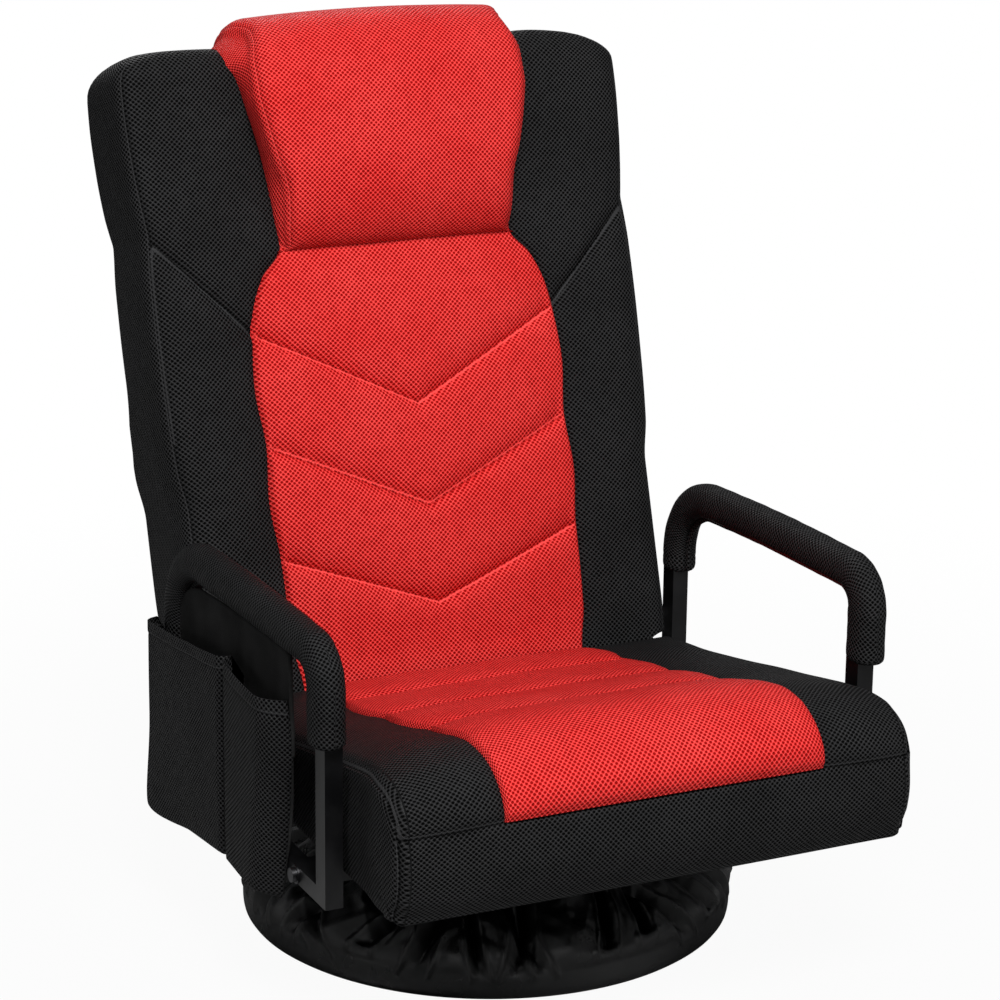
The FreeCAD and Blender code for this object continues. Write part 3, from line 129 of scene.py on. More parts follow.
def pucker(along, aside, seed):
    """Small gathers that a line of stitches draws into the cloth beside it."""
    random = np.random.default_rng(seed)
    total = np.zeros(np.broadcast(along, aside).shape)
    for length in (17.0, 26.0, 41.0):
        turns = along / length + 0.012 * np.abs(aside)
        total = total + np.sin(2 * math.pi * turns + random.uniform(0, 6.0))
    return 0.32 * total * np.exp(-np.abs(aside) / 11.0)


def nearest(*distances):
    """Signed distance to the nearest of several lines: it passes through zero on the lines alone."""
    closeness, sign = 0.0, 1.0
    for distance in distances:
        closeness = closeness + 1.0 / np.maximum(np.abs(distance), 1e-3)
        sign = sign * np.where(distance < 0, -1.0, 1.0)
    return sign / closeness


def mirrored(x, value):
    """A half section and its mirror image as one chain from side to side."""
    return np.concatenate([x, -x[-2::-1]]), np.concatenate([value, value[-2::-1]])


def seam_map(distance, along, strength):
    """What the weave needs to draw a sewn line with its painted shade and painted highlight: how far off, how
    far along, and how clearly it shows.
    """
    return np.stack(np.broadcast_arrays(distance, along, strength), -1)


# Pieces

def surface(name, points):
    """A mesh object from rows of points in millimetres."""
    mesh = bpy.data.meshes.new(name)
    index = np.arange(points[..., 0].size).reshape(points.shape[:2])
    quads = np.stack([index[:-1, :-1], index[:-1, 1:], index[1:, 1:], index[1:, :-1]], -1).reshape(-1, 4)
    mesh.from_pydata((points.reshape(-1, 3) * MM).tolist(), [], quads.tolist())
    piece = bpy.data.objects.new(name, mesh)
    bpy.context.scene.collection.objects.link(piece)
    return piece


def grid(name, points, chart, body, slot, replaced=(), loop=False, seams=None):
    """A sewn piece from rows of points; its weave lies by a chart, and it stands for the solids named."""
    piece = surface(name, points)
    mesh = piece.data
    layer = mesh.uv_layers.new(name="cloth")
    spots = np.empty(len(mesh.loops), np.int32)
    mesh.loops.foreach_get("vertex_index", spots)
    layer.data.foreach_set("uv", (chart.reshape(-1, 2)[spots] * MM).astype(np.float32).ravel())
    if seams is not None:
        layer = mesh.attributes.new("seam", "FLOAT_VECTOR", "POINT")
        layer.data.foreach_set("vector", seams.reshape(-1, 3).astype(np.float32).ravel())
    if loop:
        weld(mesh)
    mesh.materials.append(FINISHES[slot])
    for face in mesh.polygons:
        face.use_smooth = True
    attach(piece, body)
    if replaced:
        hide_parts(*replaced)
    return piece


def weld(mesh):
    """Joins points that lie on each other, and turns all faces outward."""
    work = bmesh.new()
    work.from_mesh(mesh)
    bmesh.ops.remove_doubles(work, verts=work.verts, dist=1e-5)
    bmesh.ops.dissolve_degenerate(work, edges=work.edges, dist=1e-6)
    bmesh.ops.recalc_face_normals(work, faces=work.faces)
    work.to_mesh(mesh)
    work.free()


def chart_of(points, row, column):
    """Lays the weave over rows of points: across from one column, and along that column from one row."""
    across = np.array([lengths(line) for line in points])
    across -= across[:, column:column + 1]
    along = lengths(points[:, column])
    along -= along[row]
    return np.stack([across, np.repeat(along[:, None], points.shape[1], axis=1)], -1)


def thicken(piece, thickness):
    """Gives a sheet its thickness, half of it on each side."""
    shell = piece.modifiers.new("thickness", "SOLIDIFY")
    shell.thickness = thickness * MM
    shell.offset = 0.0
    depsgraph = bpy.context.evaluated_depsgraph_get()
    mesh = bpy.data.meshes.new_from_object(piece.evaluated_get(depsgraph), preserve_all_data_layers=True,
                                           depsgraph=depsgraph)
    piece.modifiers.clear()
    piece.data = mesh


# Materials

# The finish of every material slot; pitch, row height and radius of the mesh's holes in millimetres
FINISHES = {}
HOLE_PITCH, HOLE_ROWS, HOLE_RADIUS = 5.15, 5.05, 0.95


def put(tree, socket, value):
    """Links a value to a socket, or writes it there."""
    if isinstance(value, bpy.types.NodeSocket):
        tree.links.new(value, socket)
    elif value is not None:
        socket.default_value = value


def add_node(tree, kind, *values, **named):
    """A shader node: values for its first sockets, sockets named with a capital, settings without."""
    node = tree.nodes.new("ShaderNode" + kind)
    for key, value in named.items():
        if key[0].isupper():
            put(tree, node.inputs[key], value)
        else:
            setattr(node, key, value)
    for socket, value in zip(node.inputs, values):
        put(tree, socket, value)
    return node


class Finish:
    """The finish of a material slot, put together from a few plain steps."""

    def __init__(self, slot, **shader):
        FINISHES[slot] = self.material = bpy.data.materials.new(slot)
        self.material.use_nodes = True
        self.tree = self.material.node_tree
        self.tree.nodes.clear()
        self.shader = add_node(self.tree, "BsdfPrincipled")
        self.out = add_node(self.tree, "OutputMaterial", self.shader.outputs[0])
        self.use(**shader)

    def use(self, **values):
        """Sets sockets of the surface itself."""
        for key, value in values.items():
            put(self.tree, self.shader.inputs[key.replace("_", " ")], value)

    def step(self, kind, *values, **named):
        """The first output of a new node."""
        return add_node(self.tree, kind, *values, **named).outputs[0]

    def math(self, operation, *values, clamp=False):
        return self.step("Math", *values, operation=operation, use_clamp=clamp)

    def times(self, a, b):
        return self.math("MULTIPLY", a, b)

    def scaled(self, value, factor, start, clamp=False):
        """A value times a factor, on top of a start."""
        return self.math("MULTIPLY_ADD", value, factor, start, clamp=clamp)

    def apart(self, a, b):
        """How far two values lie from each other."""
        return self.math("ABSOLUTE", self.math("SUBTRACT", a, b))

    def phase(self, value):
        """Place within one repeat of a pattern, from -0.5 to 0.5."""
        return self.math("SUBTRACT", self.math("FRACT", value), 0.5)

    def spread(self, value, low, high, to_low=0.0, to_high=1.0):
        """A value's span drawn out smoothly to another span."""
        return self.step("MapRange", value, low, high, to_low, to_high, interpolation_type="SMOOTHSTEP")

    def place(self, chart=False):
        """Where a point lies on the piece, or on the chart of its weave."""
        return add_node(self.tree, "TexCoord").outputs["UV" if chart else "Object"]

    def split(self, vector):
        return add_node(self.tree, "SeparateXYZ", vector).outputs

    def seam(self):
        """Distance from a sewn line and place along it, in millimetres, and how clearly it shows."""
        return self.split(add_node(self.tree, "Attribute", attribute_name="seam").outputs["Vector"])

    def noise(self, scale, detail=2.0, roughness=0.5, stretch=(1, 1, 1), chart=False):
        """Soft uneven spots."""
        place = self.step("Mapping", Vector=self.place(chart), Scale=stretch)
        return self.step("TexNoise", Vector=place, Scale=scale, Detail=detail, Roughness=roughness)

    def mix(self, factor, a, b):
        """One colour that turns into another as the factor rises."""
        node = add_node(self.tree, "Mix", factor, data_type="RGBA")
        put(self.tree, node.inputs[6], a)
        put(self.tree, node.inputs[7], b)
        return node.outputs[2]

    def relief(self, height, distance, strength, before=None):
        """Small relief drawn by shading alone, on top of an earlier one."""
        return self.step("Bump", Strength=strength, Distance=distance, Height=height, Normal=before)


def colour(r, g, b):
    """A colour written in display values from 0 to 255."""
    parts = []
    for value in (r / 255.0, g / 255.0, b / 255.0):
        parts.append(value / 12.92 if value <= 0.04045 else ((value + 0.055) / 1.055) ** 2.4)
    return (*parts, 1.0)


def grey(value):
    return colour(value, value, value)


def spacer_mesh(slot, dark, yarn, light, gloss):
    """Knitted spacer mesh: staggered rows of small oval holes between rounded yarns, with a painted highlight
    on the yarns' crests, and painted shade and a painted highlight beside sewn lines.
    """
    f = Finish(slot, Specular_IOR_Level=gloss)
    u, v, _ = f.split(f.place(chart=True))
    # holes in two staggered sets
    near = []
    for shift in (100.0, 100.5):
        a = f.times(f.phase(f.scaled(u, 1000.0 / HOLE_PITCH, shift)), HOLE_PITCH)
        b = f.times(f.phase(f.scaled(v, 1000.0 / HOLE_ROWS, shift)), HOLE_ROWS * 1.12)
        near.append(f.math("SQRT", f.math("ADD", f.times(a, a), f.times(b, b))))
    distance = f.math("MINIMUM", *near)
    size = f.scaled(f.noise(90.0, chart=True), 0.5, HOLE_RADIUS - 0.25)
    hole = f.spread(f.math("DIVIDE", distance, size), 0.85, 1.55, 1.0, 0.0)
    # yarns, paler on their crests: a painted highlight, mixed toward the light colour
    crest = f.spread(distance, 1.3, 2.6)
    cloudy = f.noise(14.0, 3.0)
    fibre = f.noise(900.0, chart=True)
    tone = f.scaled(fibre, 0.5, f.scaled(cloudy, 0.35, f.times(crest, 0.5)))
    yarns = f.mix(f.math("SUBTRACT", tone, 0.2, clamp=True), yarn, light)
    # a dark line of stitches, part seam gap and part painted shade of its crease, and below it a lip of cloth
    # without holes, painted paler as a highlight
    over, run, clear = f.seam()
    stitch = f.math("ABSOLUTE", f.phase(f.times(run, 0.27)))
    line = f.times(f.spread(f.apart(over, 0.6), 0.2, 1.1, 1.0, 0.0), clear)
    line = f.times(line, f.spread(stitch, 0.3, 0.46, 0.75, 0.9))
    lip = f.times(f.spread(f.apart(over, -1.3), 0.4, 1.3, 1.0, 0.0), clear)
    hole = f.times(hole, f.math("SUBTRACT", 1.0, lip))
    # painted highlight: the lip is drawn halfway to the light colour
    face = f.mix(f.times(lip, 0.5), f.mix(hole, yarns, dark), light)
    # painted shade: the stitched line is drawn in the dark colour
    face = f.mix(f.times(line, 0.85), face, dark)
    normal = f.relief(cloudy, 0.004, 0.25)
    normal = f.relief(f.scaled(lip, 0.35, f.times(f.spread(over, -0.5, 4.5), clear)), 0.0016, 0.8, normal)
    height = f.scaled(fibre, 0.12, f.math("SUBTRACT", f.times(crest, 0.45), hole))
    shine = f.scaled(hole, 0.45, f.scaled(cloudy, 0.1, 0.38), clamp=True)
    f.use(Base_Color=face, Normal=f.relief(height, 0.0011, 0.9, normal), Roughness=shine)


def plain_cloth(slot, dark, light, roughness, thread=0.0011, sheen=0.0, gloss=0.3):
    """Close plain cloth: crossing threads, a little unevenness and soft sheen."""
    f = Finish(slot, Specular_IOR_Level=gloss, Sheen_Weight=sheen, Sheen_Roughness=0.5, Sheen_Tint=light)
    u, v, _ = f.split(f.place(chart=True))
    warp, weft = (f.math("SINE", f.times(value, 2 * math.pi / thread)) for value in (u, v))
    threads = f.times(warp, weft)
    cloudy = f.noise(22.0, 4.0)
    face = f.mix(f.spread(f.scaled(threads, 0.15, cloudy), 0.25, 0.85), dark, light)
    normal = f.relief(threads, 0.0002, 0.5, f.relief(f.noise(45.0, 3.0), 0.003, 0.2))
    f.use(Base_Color=face, Normal=normal, Roughness=f.scaled(cloudy, 0.2, roughness - 0.1))


def painted_steel(slot, dark, light, roughness):
    """Satin powder coat: a fine orange-peel surface with slightly paler worn spots."""
    f = Finish(slot, Specular_IOR_Level=0.25)
    cloudy = f.noise(30.0, 4.0)
    f.use(Base_Color=f.mix(f.spread(cloudy, 0.35, 0.75), dark, light),
          Normal=f.relief(f.noise(1400.0), 0.0001, 0.35), Roughness=f.scaled(cloudy, 0.18, roughness - 0.08))


def bare_metal(slot, dark, light, roughness):
    """Zinc-plated or blackened steel with fine drawn lines and spotty lustre."""
    f = Finish(slot, Metallic=1.0)
    lines = f.noise(700.0, stretch=(1.0, 1.0, 0.05))
    cloudy = f.noise(60.0, 4.0, 0.6)
    f.use(Base_Color=f.mix(f.spread(cloudy, 0.3, 0.75), dark, light), Normal=f.relief(lines, 0.00008, 0.4),
          Roughness=f.scaled(cloudy, 0.25, roughness - 0.1))


def moulded(slot, dark, light, roughness):
    """Moulded plastic or rubber with a fine grain."""
    f = Finish(slot, Specular_IOR_Level=0.4)
    cloudy = f.noise(40.0, 3.0)
    f.use(Base_Color=f.mix(cloudy, dark, light), Normal=f.relief(f.noise(1100.0), 0.00012, 0.4),
          Roughness=f.scaled(cloudy, 0.15, roughness - 0.07))


# each mesh: hole colour, also used as the painted shade of stitched lines; yarn colour; and the painted
# highlight colour of yarn crests and seam lips
spacer_mesh("red_mesh", colour(138, 0, 0), colour(188, 0, 2), colour(255, 88, 84), gloss=0.08)
spacer_mesh("black_mesh", grey(0), grey(15), colour(57, 57, 58), gloss=0.04)
plain_cloth("pouch_cloth", grey(22), grey(42), 0.9, gloss=0.1)
plain_cloth("dust_cloth", grey(22), grey(42), 0.9, thread=0.0016, sheen=0.3)
plain_cloth("webbing", grey(50), grey(90), 0.8, thread=0.0024, sheen=0.3)
plain_cloth("black_nylon", grey(1), colour(6, 6, 7), 0.3, thread=0.0006, gloss=0.5)
painted_steel("black_steel", colour(7, 7, 8), colour(18, 18, 19), 0.32)
bare_metal("bare_steel", grey(128), colour(186, 186, 184), 0.34)
bare_metal("bolt_steel", colour(52, 52, 54), colour(96, 96, 98), 0.3)
moulded("plug_plastic", grey(22), grey(40), 0.55)
moulded("bearing_plastic", colour(205, 205, 198), colour(228, 228, 222), 0.45)
moulded("foot_rubber", grey(18), grey(34), 0.8)


def dress_nodes():
    """Gives every solid that stays its own finish."""
    for part in frame["record"]["subparts"]:
        materials = frame["nodes"][part["node"]].data.materials
        materials.clear()
        materials.append(FINISHES[part["material_slot"]])


# Backrest: x across, depth behind the cushion's front face, up along it from the hinge

def on_back(x, depth, up):
    """A place on the backrest, in the chair's frame."""
    x, depth, up = np.broadcast_arrays(np.asarray(x, float), depth, up)
    behind = depth - HINGE_DEPTH
    s, c = math.sin(RECLINE), math.cos(RECLINE)
    return np.stack([x, HINGE_Y + up * s + behind * c, HINGE_Z + up * c - behind * s], -1)


# Along the cushion: half-width, thickness, flare of the rear edge, bolster seam, edges of lumbar and head
BACK_LENGTH = 671.0
BACK_HALF = curve((0, 254), (6, 258), (18, 261), (60, 262.5), (205, 262.5), (250, 269), (310, 272),
                  (390, 273.5), (440, 273), (478, 270.5), (486, 269.8), (496, 271), (521, 274), (561, 277.5),
                  (611, 279.5), (645, 279), (671, 276))
BACK_THICK = curve((0, 112), (60, 115), (130, 122), (240, 120), (330, 111), (671, 105))
BACK_FLARE = curve((0, 0), (60, 2), (130, 10), (220, 11), (270, 6), (350, 0.5), (470, 0.5), (520, 3), (600, 2),
                   (671, 0))
V_SEAM = ((272.0, 489.0), (168.0, 380.0))
LUMBAR_EDGE = curve((0, 158), (25, 160), (60, 166), (151, 168), (208, 173), (265, 169), (322, 174),
                    (378, 169.5), (403, 165), (436, 151), (458, 132), (470, 129))
HEAD_BASE = curve((458, 128), (475, 128.5), (490, 130), (555, 137), (620, 148), (649, 155), (671, 168),
                  (705, 172))
# How far the lumbar panel stands out at a height
LUMBAR_LIFT = curve((-4, 0), (35, 0.5), (60, 3.5), (85, 7.5), (110, 11), (200, 14), (300, 14.5), (370, 13.5),
                    (425, 10), (466, 5))
CHEVRONS = ((380, 293), (265, 187), (151, 87))
CHEVRON_HALF = 170.0
# Rounding of foot and top along the back, at its sides and in depth; half-width between the hinges
FOOT_ROUND = (18.0, 8.0, 7.0)
TOP_ROUND = (34.0, 32.0, 19.0)
FOOT_HALF = 232.0


def panel_edge(up):
    """Half-width of the red parts of the back at a height."""
    return np.where(up < 458, LUMBAR_EDGE(up), HEAD_BASE(up))


def v_seam(x, up):
    """Distance from the slanting seam of a bolster, place along it, and where it exists."""
    (ax, au), (bx, bu) = V_SEAM
    span = math.hypot(bx - ax, bu - au)
    along = ((np.abs(x) - ax) * (bx - ax) + (up - au) * (bu - au)) / span
    aside = ((np.abs(x) - ax) * (bu - au) - (up - au) * (bx - ax)) / span
    return aside, along, smooth(-6, 6, along) * smooth(-8, 4, span - along)


def bolster_front(x, up, half):
    """How deep the black front lies: full bolsters, a crease at the red edge and a V seam on each side."""
    edge = panel_edge(up)
    t = np.clip((np.abs(x) - edge) / np.maximum(half - edge, 1.0), 0.0, 1.0)
    full = (1.5 + 6.5 * np.sin(math.pi * t) ** 0.75) * smooth(15, 70, up)
    aside, along, inside = v_seam(x, up)
    seam = 7.0 * np.exp(-np.abs(aside) / 4.5) + 3.5 * np.exp(-np.abs(aside) / 18.0) + pucker(along, aside, 73)
    sunk = smooth(-2.0, 9.0, edge - np.abs(x))
    swell = waves(x, up, 5, 170.0) * 1.2 * np.sin(math.pi * t)
    return -(full + swell) * (1 - sunk) + seam * inside + 9.0 * sunk


def back_ring(up, side_inset, depth_inset):
    """One closed loop round the back cushion, starting at the middle of its rear."""
    half = float(BACK_HALF(up)) - side_inset
    front, rear = depth_inset, float(BACK_THICK(up)) - depth_inset
    turn, heel = 17.0, 10.0
    x_rear = np.linspace(0.0, -(half - heel), 16)[:-1]
    a = np.linspace(0.0, math.pi / 2, 5)[:-1]
    t = np.linspace(0.0, 1.0, 18)[:-1]
    b = np.linspace(math.pi / 2, 0.0, 8)[:-1]
    flare = float(BACK_FLARE(up)) * (1 - t) ** 1.6
    heel_x, heel_d = -(half - heel) - (heel + flare[0]) * np.sin(a), rear - heel + heel * np.cos(a)
    side_x, side_d = -half - 1.8 * np.sin(math.pi * t) - flare, rear - heel + (front + turn - rear + heel) * t
    nose_x, nose_d = -(half - turn) - turn * np.sin(b), front + turn - turn * np.cos(b)
    x_front = np.linspace(-(half - turn), 0.0, 72)
    x, d = mirrored(np.concatenate([x_rear, heel_x, side_x, nose_x, x_front]),
                    np.concatenate([np.full(15, rear), heel_d, side_d, nose_d, np.full(72, front)]))
    return x, d, half, smooth(0, turn * 1.6, half - np.abs(x)) * (d < front + turn)


def back_rows():
    """Height, side inset, depth inset and fullness of the back cover's rows, from the foot up."""
    foot, foot_side, foot_depth = FOOT_ROUND
    top, top_side, top_depth = TOP_ROUND
    closing = (0.0, 0.25, 0.5, 0.75, 0.9)
    rows = [(0.0, foot_side, foot_depth, k) for k in closing]
    for a in np.linspace(0.0, math.pi / 2, 7):
        s, c = 1 - math.sin(a), 1 - math.cos(a)
        rows.append((foot * c, foot_side * s, foot_depth * s, 1.0))
    rows += [(up, 0.0, 0.0, 1.0) for up in np.linspace(22.0, BACK_LENGTH - 36.0, 160)]
    for a in np.linspace(0.0, math.pi / 2, 11)[1:]:
        s, c = 1 - math.sin(a), 1 - math.cos(a)
        rows.append((BACK_LENGTH - top * s, top_side * c, top_depth * c, 1.0))
    return rows + [(BACK_LENGTH + 2.5 * (1 - k), top_side, top_depth, k) for k in closing[::-1]]


def back_cover():
    """Black cover of the backrest: bolsters, V seams, side gussets and a plain rear."""
    first_row, nose_column = 12, 40
    points, flat, seams = [], [], []
    for up, side_inset, depth_inset, keep in back_rows():
        x, d, half, fade = back_ring(up, side_inset, depth_inset)
        plain = np.stack([x, d], -1)
        way = lengths(plain)
        beyond = np.minimum(way, way[-1] - way) - way[nose_column]
        d = d + bolster_front(x, up, half) * fade * (keep == 1.0) + 1.6 * bump(beyond, 3.0)
        aside, along, inside = v_seam(x, up)
        inside = inside * (beyond > 0)
        nearer = nearest(beyond, np.where(inside > 0, aside, 60.0))
        seams.append(seam_map(nearer, along + up, np.maximum(inside, bump(beyond, 12.0) * 0.7)))
        hollow = np.maximum(smooth(46, 38, up) * smooth(13, 19, d), smooth(22, 16, up))
        widest = half + 2 - (half - FOOT_HALF) * hollow
        slump = 10.0 * smooth(170, 275, x) * smooth(BACK_LENGTH - 60, BACK_LENGTH, up)
        x = np.clip(x, -widest, widest)
        middle = float(BACK_THICK(up)) / 2
        spine = np.stack([np.clip(x, -half + middle, half - middle), np.full_like(x, middle)], -1)
        ring = np.stack([x, d], -1) * keep + spine * (1 - keep)
        points.append(on_back(ring[:, 0], ring[:, 1], up - slump))
        flat.append(on_back(plain[:, 0], plain[:, 1], up))
    points, flat = np.array(points), np.array(flat)
    grid("back_cover", points, chart_of(flat, first_row, points.shape[1] // 2), "back", "black_mesh",
         ["back_cushion"], loop=True, seams=np.array(seams))


def chevron_distances(x, up):
    """Signed distance from each of the three stitched chevrons."""
    found = []
    for high, low in CHEVRONS:
        slope = (high - low) / CHEVRON_HALF
        found.append((up - low - slope * np.abs(x)) / math.sqrt(1 + slope * slope))
    return found


def chevron_relief(x, up):
    """Three stitched chevrons: a narrow crease with full lobes between them."""
    total = 0.0
    for distance in chevron_distances(x, up):
        fall = np.where(distance < 0, 6.5, 12.5)
        total = total + 11.0 * np.exp(-np.abs(distance) / fall) + pucker(x, distance, 71)
    return total


def lumbar():
    """Red channelled panel of the backrest."""
    columns = 161
    up = np.linspace(-4.0, 466.0, 250)[:, None]
    s = crowded(columns, 1.25)[None, :]
    x = s * LUMBAR_EDGE(up)
    reach = np.abs(s)
    crown = LUMBAR_LIFT(up) * (0.42 * (1 - reach ** 2) + 0.58 * (1 - reach ** 9) ** 0.5)
    press = chevron_relief(x, up) * smooth(1.0, 0.93, reach) * smooth(0, 50, up)
    depth = 4.0 - 4.0 * smooth(1.0, 0.97, reach) - crown + press
    depth = depth - 2.0 * smooth(1.0, 0.96, reach) * smooth(30, 90, up) + 13.0 * smooth(3.0, -4.0, up)
    depth = depth + waves(x, up, 11, 150.0) * 0.9 * smooth(1.0, 0.9, reach)
    points, flat = on_back(x, depth, up), on_back(x, -crown, up)
    seams = seam_map(nearest(*chevron_distances(x, up)), x, smooth(1.0, 0.95, reach))
    grid("lumbar_panel_cover", points, chart_of(flat, 0, columns // 2), "back", "red_mesh", ["lumbar_panel"],
         seams=seams)


def head():
    """Red head cushion: a deep pillow with side gussets that turns over the top of the back."""
    front = [(-1, 459), (-12, 461), (-22, 467), (-32, 478), (-41, 493), (-50, 516), (-57, 550), (-59, 600),
             (-56, 636), (-49, 662), (-37, 682), (-20, 695.5), (0, 702), (22, 704.5), (44, 703), (60, 697),
             (71, 687), (77, 674), (77, 662)]
    root = [(4, 459), (4, 460), (4, 462), (4, 474), (4, 492), (4, 520), (4, 556), (4, 596), (5, 626), (8, 644),
            (12, 652), (17, 658), (24, 661), (32, 662), (44, 662), (54, 662), (62, 661), (68, 660), (70, 658)]
    joined = spline([(*a, *b) for a, b in zip(front, root)], 104)
    outer, inner = joined[:, :2], joined[:, 2:]
    up = outer[:, 1]
    over = smooth(-30, 20, outer[:, 0])
    ridge = curve((459, 113), (464, 119), (475, 126), (514, 128), (548, 137), (590, 146), (617, 150),
                  (648, 150), (671, 145.5), (690, 142), (705, 141))(up) * (1 - over) + 152.0 * over
    base = HEAD_BASE(np.minimum(up, 690)) * (1 - over) + 170.0 * over
    base = np.where(up < 463, ridge, base)
    side = np.linspace(0.0, 1.0, 14)[:-1]
    turn = np.linspace(0.0, math.pi / 2, 8)[:-1]
    face = np.linspace(0.0, 1.0, 46)
    seam_column = 16
    points, flat, seams = [], [], []
    for i in range(len(outer)):
        depth = max(float(np.linalg.norm(outer[i] - inner[i])), 0.1)
        round_in = min(19.0, depth * 0.6)
        level = 1 - round_in / depth
        side_x = -base[i] + (base[i] - ridge[i]) * side ** 1.15
        side_x = side_x - 0.03 * min(depth, 50.0) * np.sin(math.pi * side)
        turn_x = -ridge[i] + round_in * (1 - np.cos(turn))
        x, g = mirrored(np.concatenate([side_x, turn_x, (-ridge[i] + round_in) * (1 - face)]),
                        np.concatenate([level * side, level + (1 - level) * np.sin(turn), np.ones_like(face)]))
        way = lengths(np.stack([x, g * depth], -1))
        beyond = np.minimum(way, way[-1] - way) - way[seam_column]
        g = g - 1.5 * bump(beyond, 2.6) / max(depth, 12.0)
        seams.append(seam_map(beyond, up[i], 0.6))
        reach = np.abs(x) / ridge[i]
        x = x * (1 + 0.03 * over[i] * smooth(0.3, 1.0, x / ridge[i]))
        g = g * (1 - 0.13 * np.clip(reach, 0, 1) ** 2.2)
        place = inner[i] + (outer[i] - inner[i]) * g[:, None]
        swell = waves(x, up[i], 23, 140.0) * 1.1 * smooth(1.0, 0.8, reach)
        points.append(on_back(x, place[:, 0] - swell, place[:, 1]))
        flat.append(on_back(x, place[:, 0], place[:, 1]))
    points, flat = np.array(points), np.array(flat)
    grid("head_cover", points, chart_of(flat, 0, points.shape[1] // 2), "back", "red_mesh", ["head_cushion"],
         seams=np.array(seams))


# Seat

# Top line of the seat in its middle and at its side, from the front seam back, in y and z
SEAT_TOP = [(-388, 257), (-385, 268), (-375, 284), (-358, 298), (-337, 307), (-312, 310), (-284, 306),
            (-250, 296), (-202, 280), (-149, 267), (-103, 255), (-50, 243), (-3, 234), (45, 226), (86, 219)]
SEAT_EDGE = [(-377, 250), (-374, 258), (-366, 272), (-352, 283), (-334, 289), (-310, 290), (-284, 287),
             (-250, 281), (-202, 272), (-149, 262), (-101, 252), (-50, 242), (11, 231), (52, 226), (86, 221)]
SEAT_LINES = spline([(*a, *b) for a, b in zip(SEAT_TOP, SEAT_EDGE)], 170)
MIDDLE_LINE, SIDE_LINE = SEAT_LINES[:, :2], SEAT_LINES[:, 2:]
SEAT_HALF = 261.0
CORNER = 15.0
SEAT_FLAT = SEAT_HALF - CORNER
SEAT_BOTTOM = 162.6
SEAT_REAR = 76.0
CHANNELS = (-204.0, -98.0, 2.0)
RED_HALF = 154.5


def seat_top(x, step):
    """A place on the seat's top, in y and z, at a step back from the front seam."""
    share = (np.abs(x) / SEAT_HALF)[..., None] ** 2.6
    return MIDDLE_LINE[step] * (1 - share) + SIDE_LINE[step] * share


def seat_panel_half(y):
    """Half-width of the red seat panel, let out a little between the channels."""
    near = np.min([np.abs(y - c) for c in CHANNELS], axis=0)
    lobe = np.clip(near / 50.0, 0, 1) ** 0.6 * smooth(75, 20, y)
    return RED_HALF + 9.0 * lobe


def seat_loop(x):
    """One loop round the seat at a distance from its middle: base, front panel, top and rear."""
    steps = np.arange(len(MIDDLE_LINE))
    top = seat_top(np.full(len(steps), abs(x)), steps)
    y, z = top[0]
    front = spline([(-352, SEAT_BOTTOM), (-366, 164.5), (y + 10, 173), (y + 2.5, 191), (y - 0.5, 218),
                    (y + 0.3, 240), (y, z)], 34)[:-1]
    base = np.stack([np.linspace(SEAT_REAR, -352.0, 60), np.full(60, SEAT_BOTTOM)], -1)[:-1]
    rear = spline([tuple(top[-1]), (88.5, 205), (88.5, 185), (86, 170), (SEAT_REAR, SEAT_BOTTOM)], 18)[1:]
    return np.concatenate([base, front, top, rear]), len(base) + len(front)


def seat_rows():
    """Place across, inset and fullness of the seat cover's loops, and which one is the middle."""
    rows = [(-SEAT_HALF - 2.0 * (1 - k), CORNER, k) for k in (0.0, 0.2, 0.4, 0.6, 0.8)]
    rows += [(-SEAT_FLAT - CORNER * math.sin(a), CORNER * (1 - math.cos(a)), 1.0)
             for a in np.linspace(math.pi / 2, 0.0, 17)[:-1]]
    level = [(x, 0.0, 1.0) for x in crowded(101, 1.15) * SEAT_FLAT]
    return rows + level + [(-x, inset, keep) for x, inset, keep in rows[::-1]], len(rows) + 50


